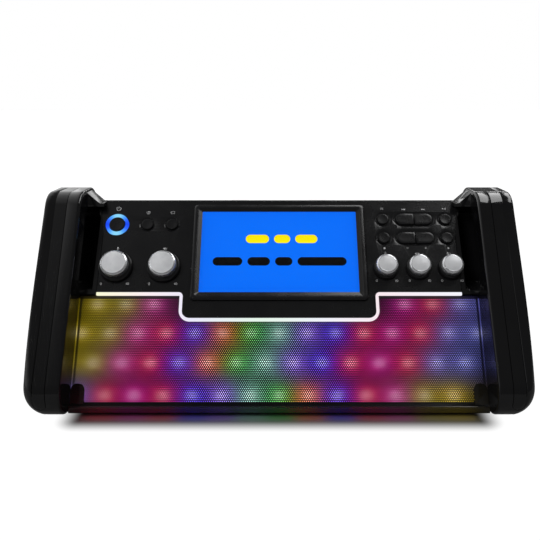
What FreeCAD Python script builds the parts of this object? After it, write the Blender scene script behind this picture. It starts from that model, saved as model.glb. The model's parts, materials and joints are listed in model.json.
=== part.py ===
import FreeCAD, Part
import math
import os
from FreeCAD import Vector

# Karaoke console: a sloped control panel with a built-in display over a lit speaker
# grille, between two end caps that carry the loop handles, with a disc player in the deck.
# Millimetres. X to the right, Y from front to back, Z up. The sizes below are measured
# from the frontmost point of the handles and from the floor; finished pieces are moved
# back by half the depth, so the origin is under the middle of the console. Width, height
# and depth add up from the pieces: the grille and panel set the height, the display and
# the controls beside it set the width, the panel and the disc well set the depth.

# Overall sizes
handle_width = 34.5
handle_above_panel = 13.2
foot_height = 3.0
foot_radius = 9.0
foot_inset = 26.0
wall = 2.5
back_inset = 1.5
joint_gap = 0.2
round_end_gap = 0.02

# Handle end caps
rim_slope = 54.6
rim_foot_radius = 22.6
rim_top_radius = 24.0
handle_top_length = 48.3
handle_top_back_radius = 18.0
rail_rise = 4.0
handle_back_run = 27.0
rail_start_radius = 20.0
cap_back_radius = 12.0
cap_wall = 4.0
cap_edge_radius = 2.5
rim_end_edge_radius = 10.0
foot_edge_step = 0.6
room_edge_radius = 0.5
cap_inner_edge_radius = 2.5
grip_thickness = 21.0
finger_gap = 29.0
hand_hole_above_grille = 6.1
hand_hole_from_top = 19.0
hand_hole_floor_radius = 4.0
pocket_depth = 12.0
pocket_wall = 4.0
shoulder_length = 12.5
inlay_width = 10.8
inlay_from_outside = 10.7
inlay_thickness = 2.0
inlay_groove = 0.6
inlay_rise = 12.0
inlay_from_back = 10.0

# Control panel, measured down its slope from the top edge
panel_slope = 51.0
panel_overhang = 1.5
panel_above_grille = 4.34
panel_thickness = 3.0
panel_side_gap = 0.5
panel_flare = 7.0
panel_flare_length = 34.0
panel_flare_radius = 60.0
panel_below_knobs = 26.3
tongue_side = 6.7
tongue_margin = 17.4
tongue_radius = 7.5
tongue_root_radius = 4.0
strip_width = 2.9
strip_depth = 2.2
strip_rise = 0.4

# Display
bezel_side = 8.4
bezel_top = 4.9
bezel_border_above = 7.9
bezel_border_below = 8.3
bezel_rise = 3.0
bezel_radius = 4.0
bezel_chamfer = 1.2
bezel_spigot_radius = 2.0
bezel_mouth_spread = 1.4
bezel_spigot_inset = 3.0
bezel_lip = 1.2
screen_width = 154.2
screen_height = 87.5
window_border = 2.5
window_thickness = 1.2
display_thickness = 6.8

# Buttons
button_radius = 5.8
button_rise = 0.8
button_travel = 1.2
button_clearance = 0.3
button_flange = 1.2
button_flange_thickness = 1.4
button_foot = 6.0
button_edge_radius = 0.5
recess_radius = 8.5
recess_depth = 1.0
oblong_half_width = 18.3
oblong_half_height = 6.0
oblong_split = 0.8
power_button_radius = 7.9
power_ring_radius = 12.0
power_ring_rise = 0.5
left_button_row = 26.4
screen_button_from_bezel = 21.8
function_button_pitch = 24.7
power_button_pitch = 30.4
power_button_from_side = 12.6
right_column_from_bezel = 18.6
right_column_pitch = 31.7
last_column_pitch = 31.3
last_column_from_side = 7.9
right_first_row = 20.6
right_row_pitch = 21.0

# Knobs
large_knob_from_bezel = 27.0
large_knob_pitch = 46.5
large_knob_row = 73.5
large_skirt_radius = 16.1
large_cap_radius = 13.2
small_knob_row = 74.6
small_skirt_radius = 12.0
small_cap_radius = 10.4
knob_gap = 0.4
skirt_height = 4.0
skirt_bevel = 0.9
knob_core_wall = 4.0
cap_height = 8.0
cap_bevel = 1.4
cap_shell = 1.2
shaft_radius = 3.0
shaft_clearance = 0.05
shaft_hole_clearance = 0.5
shaft_end_gap = 0.3

# Boards behind the panel
board_top = 14.0
board_back = 12.6
board_thickness = 1.6
board_margin = 3.0
switch_size = 6.0
switch_gap = 0.5
pot_size = 13.0
pot_height = 4.6
pot_bush_radius = 4.6
boss_radius = 2.6
board_edge = 0.6
boss_below_buttons = 12.4
boss_inset = 5.0

# Grille and lights, measured down the grille's slope from its top edge
grille_slope = 56.7
grille_in_lip = 5.85
grille_seat_depth = 2.66
grille_length = 105.0
grille_thickness = 1.0
grille_hole_radius = 2.4
grille_hole_pitch = 11.5
grille_notch_inset = 4.0
grille_notch_depth = 17.0
grille_edge = 9.0
diffuser_behind = 6.0
diffuser_thickness = 0.8
diffuser_rise = 6.0
diffuser_drop = 1.0
led_first_row = 4.5
led_row_pitch = 28.5
led_end_margin = 10.0
led_pitch = 27.0
led_side_margin = 8.0
led_size = 5.0
led_height = 1.6
led_strip_width = 9.0
led_strip_thickness = 1.6
baffle_behind = 15.0
baffle_thickness = 3.0
baffle_shortfall = 12.0
lip_front = 18.7
lip_height = 6.8
lip_depth = 9.0
lip_edge_radius = 1.5
corner_block_width = 12.5
corner_block_height = 21.0
corner_block_rise = 2.0
corner_block_radius = 6.0
grille_seat_gap = 0.1

# Loudspeakers
speaker_offset = 105.0
speaker_above_middle = 0.5
speaker_flange_radius = 39.0
speaker_opening_radius = 34.0
speaker_flange_thickness = 2.0
basket_depth = 16.0
basket_wall = 1.5
magnet_radius = 21.0
magnet_height = 11.0
cone_wall = 0.8
cone_depth = 10.0
surround_width = 4.0
cone_lap = 0.5
dust_cap_radius = 11.0

# Deck with tablet slot and disc well
ridge_height = 30.8
ridge_depth = 8.0
tablet_slot_width = 260.0
tablet_slot_gap = 13.0
tablet_slot_depth = 14.0
tablet_slot_from_ridge = 3.0
disc_well_radius = 61.5
disc_well_depth = 9.5
hub_hole_radius = 11.5
lid_side = 5.5
lid_from_slot = 2.0
lid_overlap = 1.5
lid_to_hinge = 3.6
lid_thickness = 3.0
lid_gap = 0.3
lid_corner_radius = 9.0
lid_edge_radius = 1.2
lid_arm = 6.0
lid_arm_step = 0.9
lid_notch_radius = 16.0
lid_notch_reach = 8.0
lid_notch_floor = 1.4
hinge_from_well = 3.4
hinge_from_back = 6.6
hinge_rise = 4.4
hinge_pin_radius = 1.5
hinge_running = 0.06
knuckle_radius = 3.2
knuckle_length = 12.0
knuckle_offset = 48.0
ear_thickness = 4.0
ear_gap = 0.3

# Disc drive
turntable_radius = 11.0
turntable_thickness = 2.0
turntable_lift = 1.0
spigot_radius = 7.3
spigot_height = 3.2
motor_shaft_radius = 1.0
motor_radius = 12.8
motor_height = 14.0
shaft_depth = 10.0
rail_radius = 1.5
rail_running = 0.05
rail_spacing = 26.0
rail_offset = 15.0
rail_drop = 7.5
rail_inner = 15.8
rail_past_well = 11.5
sled_start = 16.6
sled_length = 18.0
sled_height = 8.0
sled_end_gap = 4.4
lens_size = 8.0
lens_from_edge = 6.4
lens_rise = 8.2
lens_gap = 1.0
lens_radius = 2.6
lens_proud = 0.8
slot_width = 12.0
screw_offset = 24.0
screw_radius = 1.8
screw_in_motor = 7.5
sled_motor_radius = 6.5
sled_margin = 4.0
bracket_thickness = 2.5
bracket_margin = 5.0

# Boards in the base and sockets on the back
board_standoff = 6.0
main_board_size = (150.0, 95.0)
main_board_from_side = 111.5
main_board_from_back = 99.0
power_board_size = (110.0, 80.0)
power_board_from_side = 96.5
power_board_from_back = 89.0
# Blocks on the boards: across and back from the board's middle, then width, depth and height
processor = (-30.0, 10.0, 24.0, 24.0, 3.0)
heat_sink = (35.0, -20.0, 40.0, 14.0, 22.0)
ribbon_connector = (10.0, 30.0, 14.0, 8.0, 9.0)
transformer = (-25.0, 0.0, 34.0, 40.0, 32.0)
capacitors = (18.0, 18.0, 18.0, 18.0, 28.0)
filter_choke = (18.0, -16.0, 20.0, 16.0, 18.0)
socket_row_z = 60.0
mic_socket_from_side = 41.5
mic_socket_pitch = 28.0
line_socket_from_mic = 30.0
line_socket_pitch = 16.0
mic_bore_radius = 3.3
line_bore_radius = 1.8
mic_socket_body = 14.0
line_socket_body = 11.0
socket_length = 26.0
socket_end = 3.0
inlet_from_side = 51.5
inlet_width = 22.0
inlet_height = 14.0
inlet_depth = 20.0
inlet_wall = 2.0
inlet_end = 4.0
inlet_pin_radius = 1.3
inlet_pin_offset = 4.3
inlet_pin_inset = 2.0
screw_head_radius = 3.0
screw_head_height = 1.4
screw_shank_radius = 1.5
screw_shank_length = 9.0
screw_post_width = 9.0
screw_post_depth = 12.0
screw_clearance = 0.15
screw_from_edge = 7.0
screw_from_side = 9.0
back_screw_column = 63.8
vent_count = 14
vent_width = 3.0
vent_height = 34.0
vent_pitch = 9.0
vent_bottom = 85.0

# Worked-out sizes
through = 10 * panel_thickness
tray_floor_top = foot_height + wall

bezel_width = screen_width + 2 * bezel_side
screen_top = bezel_top + bezel_border_above
screen_bottom = screen_top + screen_height
bezel_bottom = screen_bottom + bezel_border_below
screen_column = -bezel_width / 2 - screen_button_from_bezel
function_column = screen_column - function_button_pitch
power_column = function_column - power_button_pitch
right_column = bezel_width / 2 + right_column_from_bezel
right_columns = (right_column, right_column + right_column_pitch,
                 right_column + right_column_pitch + last_column_pitch)
right_rows = (right_first_row, right_first_row + right_row_pitch)
large_knob_column = -bezel_width / 2 - large_knob_from_bezel
large_knob_columns = (large_knob_column - large_knob_pitch, large_knob_column)
boss_row = right_rows[1] + boss_below_buttons
panel_width = 2 * max(power_button_from_side - power_column, right_columns[-1] + last_column_from_side)
panel_length = large_knob_row + panel_below_knobs
tongue_width = bezel_width + 2 * tongue_side
tongue_drop = bezel_bottom + tongue_margin - panel_length
body_width = panel_width + 2 * (pocket_depth + pocket_wall + panel_side_gap)
half_body = body_width / 2
half_width = half_body + handle_width

grille_angle = math.radians(grille_slope)
grille_top_y = lip_front + grille_in_lip + grille_length * math.cos(grille_angle)
grille_top_z = foot_height + lip_height - grille_seat_depth + grille_length * math.sin(grille_angle)
panel_angle = math.radians(panel_slope)
panel_top_y = grille_top_y - panel_overhang + panel_length * math.cos(panel_angle)
panel_top_z = grille_top_z + panel_above_grille + panel_length * math.sin(panel_angle)
deck_top = panel_top_z - ridge_height
handle_height = panel_top_z + handle_above_panel
baffle_length = grille_length - baffle_shortfall
speaker_down = baffle_length / 2 - speaker_above_middle
led_row_count = int((grille_length - led_first_row - led_end_margin) / led_row_pitch) + 1
led_rows = [led_first_row + i * led_row_pitch for i in range(led_row_count)]
led_columns = int((body_width - 2 * led_side_margin) / led_pitch) + 1

slot_front = panel_top_y + ridge_depth + tablet_slot_from_ridge
slot_back = slot_front + tablet_slot_gap
lid_front = slot_back + lid_from_slot
lid_width = 2 * (disc_well_radius + lid_side)
disc_centre_y = lid_front + lid_overlap + disc_well_radius
hinge_y = disc_centre_y + disc_well_radius + hinge_from_well
hinge_z = deck_top + hinge_rise
lid_back = hinge_y - lid_to_hinge
overall_depth = hinge_y + hinge_from_back
back_face = overall_depth - back_inset
well_floor = deck_top - disc_well_depth
well_under = well_floor - wall
rail_outer = disc_well_radius + rail_past_well
sled_travel = rail_outer - sled_end_gap - sled_length - sled_start
main_board_place = (main_board_from_side - half_body, overall_depth - main_board_from_back)
power_board_place = (half_body - power_board_from_side, overall_depth - power_board_from_back)
mic_socket_columns = [mic_socket_from_side - half_body + i * mic_socket_pitch for i in range(2)]
line_socket_start = mic_socket_columns[-1] + line_socket_from_mic
line_socket_columns = [line_socket_start + i * line_socket_pitch for i in range(3)]
inlet_column = half_body - inlet_from_side

rim_angle = math.radians(rim_slope)
rim_start_y = rim_foot_radius - rim_foot_radius * math.tan(math.radians(90 - rim_slope / 2))
rim_end_y = rim_start_y + (handle_height - foot_height) / math.tan(rim_angle)
handle_top_back = rim_end_y + handle_top_length
rail_height = deck_top + rail_rise
rail_start = handle_top_back + handle_back_run
hand_hole_floor = grille_top_z + hand_hole_above_grille
hand_hole_top = handle_height - hand_hole_from_top
inlay_bottom = foot_height + inlay_rise
inlay_back = handle_top_back - inlay_from_back
split_x = half_width - inlay_from_outside - inlay_width / 2
front_rod_y = disc_centre_y - rail_offset
screw_y = disc_centre_y + screw_offset
drive_z = well_under - rail_drop

panel_frame = FreeCAD.Placement(
    Vector(0, panel_top_y, panel_top_z), FreeCAD.Rotation(Vector(1, 0, 0), panel_slope)
)
grille_frame = FreeCAD.Placement(
    Vector(0, grille_top_y, grille_top_z), FreeCAD.Rotation(Vector(1, 0, 0), grille_slope)
)


def box(x0, x1, y0, y1, z0, z1):
    """Block between two corners."""
    return Part.makeBox(x1 - x0, y1 - y0, z1 - z0, Vector(x0, y0, z0))


def disc(x, y, radius, z0, z1):
    """Upright cylinder between two heights."""
    return Part.makeCylinder(radius, z1 - z0, Vector(x, y, z0))


def rod_x(x0, x1, y, z, radius):
    """Cylinder along X."""
    return Part.makeCylinder(radius, x1 - x0, Vector(x0, y, z), Vector(1, 0, 0))


def rod_y(x, y0, y1, z, radius):
    """Cylinder along Y."""
    return Part.makeCylinder(radius, y1 - y0, Vector(x, y0, z), Vector(0, 1, 0))


def rounded_face(corners, place):
    """Face of a polygon whose corners (a, b, radius) are rounded by tangent arcs."""
    count = len(corners)
    starts, middles, ends = [], [], []
    for i, (a, b, radius) in enumerate(corners):
        here = Vector(a, b, 0)
        back = (Vector(corners[i - 1][0], corners[i - 1][1], 0) - here).normalize()
        after = corners[(i + 1) % count]
        ahead = (Vector(after[0], after[1], 0) - here).normalize()
        half_angle = back.getAngle(ahead) / 2
        reach = radius / math.tan(half_angle)
        starts.append(here + back * reach)
        ends.append(here + ahead * reach)
        middles.append(here + (back + ahead).normalize() * (radius / math.sin(half_angle) - radius))
    edges = []
    for i in range(count):
        if corners[i][2] > 0:
            points = [place(p.x, p.y) for p in (starts[i], middles[i], ends[i])]
            edges.append(Part.Arc(*points).toShape())
        onward = starts[(i + 1) % count]
        if (onward - ends[i]).Length > 1e-4:
            edges.append(Part.makeLine(place(ends[i].x, ends[i].y), place(onward.x, onward.y)))
    return Part.Face(Part.Wire(edges))


def offset_corners(corners, out):
    """The same counter-clockwise polygon with every side moved outwards."""
    count = len(corners)
    moved = []
    for i, (a, b, radius) in enumerate(corners):
        here = Vector(a, b, 0)
        along_in = (here - Vector(corners[i - 1][0], corners[i - 1][1], 0)).normalize()
        after = corners[(i + 1) % count]
        along_out = (Vector(after[0], after[1], 0) - here).normalize()
        normal_in = Vector(along_in.y, -along_in.x, 0)
        normal_out = Vector(along_out.y, -along_out.x, 0)
        corner = here + (normal_in + normal_out) * (out / (1 + normal_in.dot(normal_out)))
        convex = along_in.cross(along_out).z > 0
        if radius > 0:
            radius = radius + out if convex else radius - out
        moved.append((corner.x, corner.y, max(radius, 0)))
    return moved


def prism_x(corners, x0, x1):
    """Side outline in Y and Z, carried along X."""
    return rounded_face(corners, lambda a, b: Vector(x0, a, b)).extrude(Vector(x1 - x0, 0, 0))


def plate(corners, z0, z1):
    """Outline in X and Y, carried along Z."""
    return rounded_face(corners, lambda a, b: Vector(a, b, z0)).extrude(Vector(0, 0, z1 - z0))


def rectangle(x0, x1, y0, y1, radius):
    """Corners of an upright rectangle with one corner radius."""
    return [(x0, y0, radius), (x1, y0, radius), (x1, y1, radius), (x0, y1, radius)]


def on_panel(shape):
    """Moves a piece from the panel's own frame (across, up the slope, outwards) into place."""
    placed = shape.copy()
    placed.Placement = panel_frame.multiply(placed.Placement)
    return placed


def on_grille(shape):
    """Moves a piece from the grille's own frame (across, up the slope, outwards) into place."""
    placed = shape.copy()
    placed.Placement = grille_frame.multiply(placed.Placement)
    return placed


def top_edges(shape, height):
    """Edges of a piece that lie at one height in its own frame."""
    return [e for e in shape.Edges if abs(e.BoundBox.ZMin - height) < 1e-4]


def mirrored(shape):
    """The same piece on the other side of the middle plane."""
    return shape.mirror(Vector(0, 0, 0), Vector(1, 0, 0))


def fused(shapes):
    """One solid from pieces that touch or overlap."""
    return shapes[0].multiFuse(shapes[1:]).removeSplitter()


# Handle end caps


def cap_outline():
    """Side outline of an end cap: sloped rim, handle top, low rail over the deck, back."""
    return [
        (rim_start_y, foot_height, rim_foot_radius),
        (overall_depth, foot_height, cap_back_radius),
        (overall_depth, rail_height, cap_back_radius),
        (rail_start, rail_height, rail_start_radius),
        (handle_top_back, handle_height, handle_top_back_radius),
        (rim_end_y, handle_height, rim_top_radius),
    ]


def behind_rim(height, depth):
    """Y of the line that runs parallel to the rim, at a depth behind it, at a height."""
    return rim_start_y + (height - foot_height) / math.tan(rim_angle) + depth / math.sin(rim_angle)


def hand_hole_outline():
    """Slot behind the grip bar: level floor, sides along the rim and a round top end."""
    top_radius = finger_gap / 2 - round_end_gap
    middle_y = behind_rim(hand_hole_top, grip_thickness + finger_gap / 2)
    across_y = finger_gap / 2 * math.sin(rim_angle)
    across_z = finger_gap / 2 * math.cos(rim_angle)
    front_floor_y = behind_rim(hand_hole_floor, grip_thickness)
    back_floor_y = behind_rim(hand_hole_floor, grip_thickness + finger_gap)
    return [
        (front_floor_y, hand_hole_floor, hand_hole_floor_radius),
        (back_floor_y, hand_hole_floor, hand_hole_floor_radius),
        (middle_y + across_y, hand_hole_top - across_z, top_radius),
        (middle_y - across_y, hand_hole_top + across_z, top_radius),
    ]


def outline_edges(solid, x):
    """Edges of a solid that lie in one plane across X."""
    return [e for e in solid.Edges if all(abs(v.Point.x - x) < 1e-4 for v in e.Vertexes)
            and abs(e.BoundBox.XLength) < 1e-4]


def rounded_edge(body, x, radius, rim_end_radius, foot_radius):
    """Rounds the outline in one plane across X, with a radius that grows down the rim to the front foot."""
    lowest = body.BoundBox.ZMin
    middle_y = body.BoundBox.Center.y
    chosen = {e.hashCode() for e in outline_edges(body, x)}

    def radius_at(end):
        """Largest on the foot's underside, less where the rim runs out, least elsewhere."""
        if end.y > middle_y or end.z > lowest + 2 * rim_foot_radius:
            return radius
        return foot_radius if abs(end.z - lowest) < 1e-4 else rim_end_radius

    radii = []
    for number, edge in enumerate(body.Edges, 1):
        if edge.hashCode() in chosen:
            ends = [edge.valueAt(t) for t in (edge.FirstParameter, edge.LastParameter)]
            radii.append((number, *(radius_at(end) for end in ends)))
    sheet = FreeCAD.newDocument()
    blank = sheet.addObject("Part::Feature", "blank")
    blank.Shape = body
    rounding = sheet.addObject("Part::Fillet", "rounding")
    rounding.Base = blank
    rounding.Edges = radii
    sheet.recompute()
    shape = rounding.Shape.copy()
    FreeCAD.closeDocument(sheet.Name)
    return shape


def cap_blank(x_open):
    """Outer part of an end cap, whole and rounded, from one plane across X outwards."""
    return rounded_edge(prism_x(cap_outline(), x_open, half_width), half_width,
                        cap_edge_radius, rim_end_edge_radius, rim_foot_radius - foot_edge_step)


def inlay_zone(x0, x1, depth):
    """Skin of the end cap's rim and top between two planes, with a round lower end on the foot."""
    skin = prism_x(cap_outline(), x0, x1).cut(prism_x(offset_corners(cap_outline(), -depth), x0, x1))
    foot = Vector((x0 + x1) / 2, rim_foot_radius, foot_height + rim_foot_radius)
    round_end = math.asin((foot.z - inlay_bottom) / rim_foot_radius) - inlay_width / 2 / rim_foot_radius
    outwards = Vector(0, -math.cos(round_end), -math.sin(round_end))
    ahead = foot + outwards * (rim_foot_radius + wall)
    high = handle_height + wall
    sides = ((foot.y, foot.z), (ahead.y, ahead.z), (ahead.y, high), (inlay_back, high),
             (inlay_back, foot.z))
    above = prism_x([(y, z, 0) for y, z in sides], x0, x1)
    end = Part.makeCylinder((x1 - x0) / 2, rim_foot_radius + wall, foot, outwards)
    return skin.common(above.fuse(end))


def cap_half(blank, x_open, x_closed):
    """Hollow half of an end cap, closed by a wall at one side and open at the split."""
    low, high = min(x_open, x_closed), max(x_open, x_closed)
    inward = math.copysign(cap_wall, x_open - x_closed)
    body = blank.cut(prism_x(hand_hole_outline(), low - wall, high + wall))
    room_low, room_high = min(x_open, x_closed + inward), max(x_open, x_closed + inward)
    room = prism_x(offset_corners(cap_outline(), -cap_wall), room_low, room_high)
    if x_closed > x_open:
        foot_radius = rim_foot_radius - foot_edge_step - cap_wall
        room = rounded_edge(room, room_high, cap_edge_radius, rim_end_edge_radius,
                            max(foot_radius, room_edge_radius))
    room = room.cut(prism_x(offset_corners(hand_hole_outline(), cap_wall), low - wall, high + wall))
    body = body.cut(room)
    channel_inner = half_width - inlay_from_outside - inlay_width - inlay_groove
    channel_outer = half_width - inlay_from_outside + inlay_groove
    return body.cut(inlay_zone(channel_inner, channel_outer, inlay_thickness))


def pocket_tub():
    """Finger pocket that carries the hand hole on into the side of the console."""
    outer_x = half_body + cap_inner_edge_radius
    inner_x = half_body - pocket_depth
    tub = prism_x(offset_corners(hand_hole_outline(), pocket_wall), inner_x - pocket_wall, half_body)
    tub = tub.cut(prism_x(hand_hole_outline(), inner_x, outer_x))
    reach = overall_depth
    in_front = on_panel(box(-half_width, half_width, -reach, reach, 0, reach))
    return tub.cut(in_front)


def shoulder():
    """Wedge that leads from the handle's top down to the panel's top corner."""
    inner_x = half_body - pocket_depth - pocket_wall
    foot_x = half_body - pocket_depth
    corners = [
        (inner_x, panel_top_z - ridge_depth),
        (half_body, panel_top_z - ridge_depth),
        (half_body, handle_height - cap_inner_edge_radius),
        (foot_x, panel_top_z),
        (inner_x, panel_top_z),
    ]
    points = [Vector(x, panel_top_y - shoulder_length, z) for x, z in corners]
    face = Part.Face(Part.makePolygon(points + points[:1]))
    wedge = face.extrude(Vector(0, shoulder_length + ridge_depth, 0))
    return wedge.cut(prism_x(hand_hole_outline(), 0, half_width))


def handle_outer():
    """Outer half of an end cap."""
    return cap_half(cap_blank(split_x), split_x, half_width)


def handle_inner():
    """Inner half of an end cap with its finger pocket and shoulder."""
    blank = prism_x(cap_outline(), half_body, split_x)
    blank = blank.makeFillet(cap_inner_edge_radius, outline_edges(blank, half_body))
    half = cap_half(blank.common(cap_blank(half_body)), split_x, half_body)
    bridge = prism_x(hand_hole_outline(), half_body - pocket_depth / 2, split_x + wall)
    joined = fused([half, pocket_tub(), shoulder()]).cut(bridge)
    return joined.cut(on_panel(panel_blank(joint_gap)))


def grip_inlay():
    """Strip let into the rim between two fine grooves."""
    outer = half_width - inlay_from_outside
    return inlay_zone(outer - inlay_width, outer, inlay_thickness).common(cap_blank(half_body))


# Control panel


def panel_outline():
    """Panel outline: flared top corners, straight sides and a tongue at the lower middle."""
    half = panel_width / 2
    top_half = half + panel_flare
    tongue = tongue_width / 2
    flare_end = -panel_flare_length
    low = -panel_length
    tip = low - tongue_drop
    return [
        (-tongue, tip, tongue_radius),
        (tongue, tip, tongue_radius),
        (tongue, low, tongue_root_radius),
        (half, low, 0),
        (half, flare_end, panel_flare_radius),
        (top_half, 0, 0),
        (-top_half, 0, 0),
        (-half, flare_end, panel_flare_radius),
        (-half, low, 0),
        (-tongue, low, tongue_root_radius),
    ]


def panel_blank(out):
    """Panel without openings, grown by a gap all round."""
    return plate(offset_corners(panel_outline(), out), -panel_thickness - out, out)


def stadium(x, v, out):
    """Outline of the oblong button pair, grown by a gap."""
    half = oblong_half_width + out
    high = oblong_half_height + out
    return rectangle(x - half, x + half, v - high, v + high, high - round_end_gap)


def round_button_places():
    """Names and places of the plain round buttons."""
    left, middle, right = right_columns
    upper, lower = right_rows
    return {
        "function_button": (function_column, -left_button_row),
        "screen_button": (screen_column, -left_button_row),
        "program_button": (left, -upper),
        "record_button": (left, -lower),
        "play_button": (right, -upper),
        "stop_button": (right, -lower),
    }


def half_button_places():
    """Names and places of the oblong buttons' halves, with the side each one takes."""
    upper, lower = right_rows
    middle = right_columns[1]
    return {
        "skip_back_button": (middle, -upper, -1),
        "skip_forward_button": (middle, -upper, 1),
        "key_down_button": (middle, -lower, -1),
        "key_up_button": (middle, -lower, 1),
    }


def knob_places():
    """Names, places and radii of the knobs."""
    left, middle, right = right_columns
    return {
        "mic_volume": (large_knob_columns[0], -large_knob_row, large_skirt_radius, large_cap_radius),
        "master_volume": (large_knob_columns[1], -large_knob_row, large_skirt_radius, large_cap_radius),
        "echo": (left, -small_knob_row, small_skirt_radius, small_cap_radius),
        "balance": (middle, -small_knob_row, small_skirt_radius, small_cap_radius),
        "voice_control": (right, -small_knob_row, small_skirt_radius, small_cap_radius),
    }


def board_spans():
    """Left and right ends of the two boards behind the controls."""
    inner = bezel_width / 2 + board_margin
    outer = panel_width / 2 - board_margin
    return ((-outer, -inner), (inner, outer))


def boss_places():
    """Places of the posts that carry the boards, clear of the buttons and knobs."""
    rows = (-board_top - boss_radius - board_edge, -boss_row, -panel_length + board_margin + boss_inset)
    places = []
    for left, right in board_spans():
        ends = (right - boss_inset, left + boss_inset)
        inner, outer = ends if left < 0 else ends[::-1]
        places += [(inner, v) for v in rows]
        places += [(outer, v) for v in rows[1:]]
    return places


def control_panel():
    """Sloped fascia with its openings, dished recesses and board posts."""
    panel = plate(panel_outline(), -panel_thickness, 0)
    inset = bezel_spigot_inset - joint_gap
    half = bezel_width / 2 - inset
    cuts = [plate(rectangle(-half, half, -bezel_bottom + inset, -bezel_top - inset, bezel_spigot_radius),
                  -through, through)]
    for x, v in round_button_places().values():
        cuts.append(disc(x, v, button_radius + button_clearance, -through, through))
        cuts.append(Part.makeCone(recess_radius - recess_depth, recess_radius, recess_depth,
                                  Vector(x, v, -recess_depth)))
    for row in right_rows:
        middle = right_columns[1]
        cuts.append(plate(stadium(middle, -row, button_clearance), -through, through))
        rim = recess_radius - button_radius
        wires = [rounded_face(stadium(middle, -row, out), lambda a, b: Vector(a, b, z)).OuterWire
                 for out, z in ((rim - recess_depth, -recess_depth), (rim, 0))]
        cuts.append(Part.makeLoft(wires, True, True))
    cuts.append(disc(power_column, -left_button_row, power_ring_radius + joint_gap, -through, through))
    for x, v, skirt, cap in knob_places().values():
        cuts.append(disc(x, v, shaft_radius + shaft_hole_clearance, -through, through))
    panel = panel.cut(Part.makeCompound(cuts))
    posts = [disc(x, v, boss_radius, -board_back, -panel_thickness) for x, v in boss_places()]
    return fused([panel] + posts)


def light_strip():
    """Light pipe round the panel's lower edge, stepped down round the tongue."""
    outer = plate(offset_corners(panel_outline(), strip_width), -strip_depth, strip_rise)
    inner = plate(offset_corners(panel_outline(), joint_gap), -2 * strip_depth, strip_depth)
    band = outer.cut(inner)
    half = panel_width / 2
    bottom = -panel_length - tongue_drop - 2 * strip_width
    return band.common(box(-half, half, bottom, -panel_length + joint_gap / 2, -through, through))


def screen_bezel():
    """Raised frame round the display, bevelled outside and inside, with a spigot behind."""
    half = bezel_width / 2
    screen_half = screen_width / 2
    low, high = -bezel_bottom, -bezel_top
    flange = plate(rectangle(-half, half, low, high, bezel_radius), 0, bezel_rise)
    flange = flange.makeChamfer(bezel_chamfer, top_edges(flange, bezel_rise))
    inset = bezel_spigot_inset
    depth = bezel_lip - window_thickness - display_thickness
    spigot = plate(rectangle(-half + inset, half - inset, low + inset, high - inset, bezel_spigot_radius),
                   depth, 0)
    frame = flange.fuse(spigot)
    border = window_border
    room = box(-screen_half - border, screen_half + border, -screen_bottom - border, -screen_top + border,
               2 * depth, bezel_lip)
    slope = bezel_rise - bezel_lip
    mouth_low = rounded_face(rectangle(-screen_half, screen_half, -screen_bottom, -screen_top, 0),
                             lambda a, b: Vector(a, b, bezel_lip - 0.5))
    grow = slope * bezel_mouth_spread
    mouth_high = rounded_face(
        rectangle(-screen_half - grow, screen_half + grow, -screen_bottom - grow, -screen_top + grow, 0),
        lambda a, b: Vector(a, b, bezel_rise + 0.01))
    mouth = Part.makeLoft([mouth_low.OuterWire, mouth_high.OuterWire], True, True)
    return frame.cut(room).cut(mouth).removeSplitter()


def display_stack(z0, z1):
    """Sheet that fills the bezel's room between two depths."""
    half = screen_width / 2 + window_border - joint_gap
    return box(-half, half, -screen_bottom - window_border + joint_gap,
               -screen_top + window_border - joint_gap, z0, z1)


def flange_span():
    """Back and front of a button's stop flange, just behind the panel."""
    front = -panel_thickness - button_clearance
    return front - button_flange_thickness, front


def round_button(x, v, radius, rise):
    """Round button: cap through the panel and a stop flange behind it."""
    back, front = flange_span()
    cap = disc(x, v, radius, -button_foot, rise)
    cap = cap.makeFillet(button_edge_radius, top_edges(cap, rise))
    return fused([cap, disc(x, v, radius + button_flange, back, front)])


def half_button(x, v, side):
    """One half of an oblong button pair."""
    back, front = flange_span()
    near, far = sorted((x + side * oblong_split / 2, x + side * 2 * oblong_half_width))
    tall = 2 * oblong_half_height
    keep = box(near, far, v - tall, v + tall, -through, through)
    cap = plate(stadium(x, v, 0), -button_foot, button_rise)
    flange = plate(stadium(x, v, button_flange), back, front)
    return fused([cap, flange]).common(keep)


def power_ring():
    """Lit ring round the power button."""
    ring = disc(power_column, -left_button_row, power_ring_radius, -panel_thickness, power_ring_rise)
    return ring.cut(disc(power_column, -left_button_row, power_button_radius + button_clearance,
                         -through, through))


def knob_body(x, v, skirt):
    """Black knob: skirt, core inside the cap and the shaft into its potentiometer."""
    top = knob_gap + skirt_height
    base = disc(x, v, skirt, knob_gap, top)
    base = base.makeChamfer(skirt_bevel, top_edges(base, top))
    core = disc(x, v, shaft_radius + knob_core_wall, top, top + cap_height - cap_shell)
    shaft = disc(x, v, shaft_radius, -board_back + board_thickness, knob_gap)
    return fused([base, core, shaft])


def knob_cap(x, v, radius):
    """Silver cap with a bevelled rim, a cup over the knob's core."""
    low = knob_gap + skirt_height
    high = low + cap_height
    cup = disc(x, v, radius, low, high)
    cup = cup.makeChamfer(cap_bevel, top_edges(cup, high))
    return cup.cut(disc(x, v, shaft_radius + knob_core_wall, low - cap_shell, high - cap_shell))


def control_boards():
    """Two boards behind the panel, one for each group of controls."""
    boards = []
    for left, right in board_spans():
        boards.append(box(left, right, -panel_length + board_margin, -board_top,
                          -board_back - board_thickness, -board_back))
    return Part.makeCompound(boards)


def switch_centres():
    """Places of the switches under the buttons."""
    places = [(power_column, -left_button_row)]
    places += list(round_button_places().values())
    for x, v, side in half_button_places().values():
        places.append((x + side * oblong_half_width / 2, v))
    return places


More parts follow.
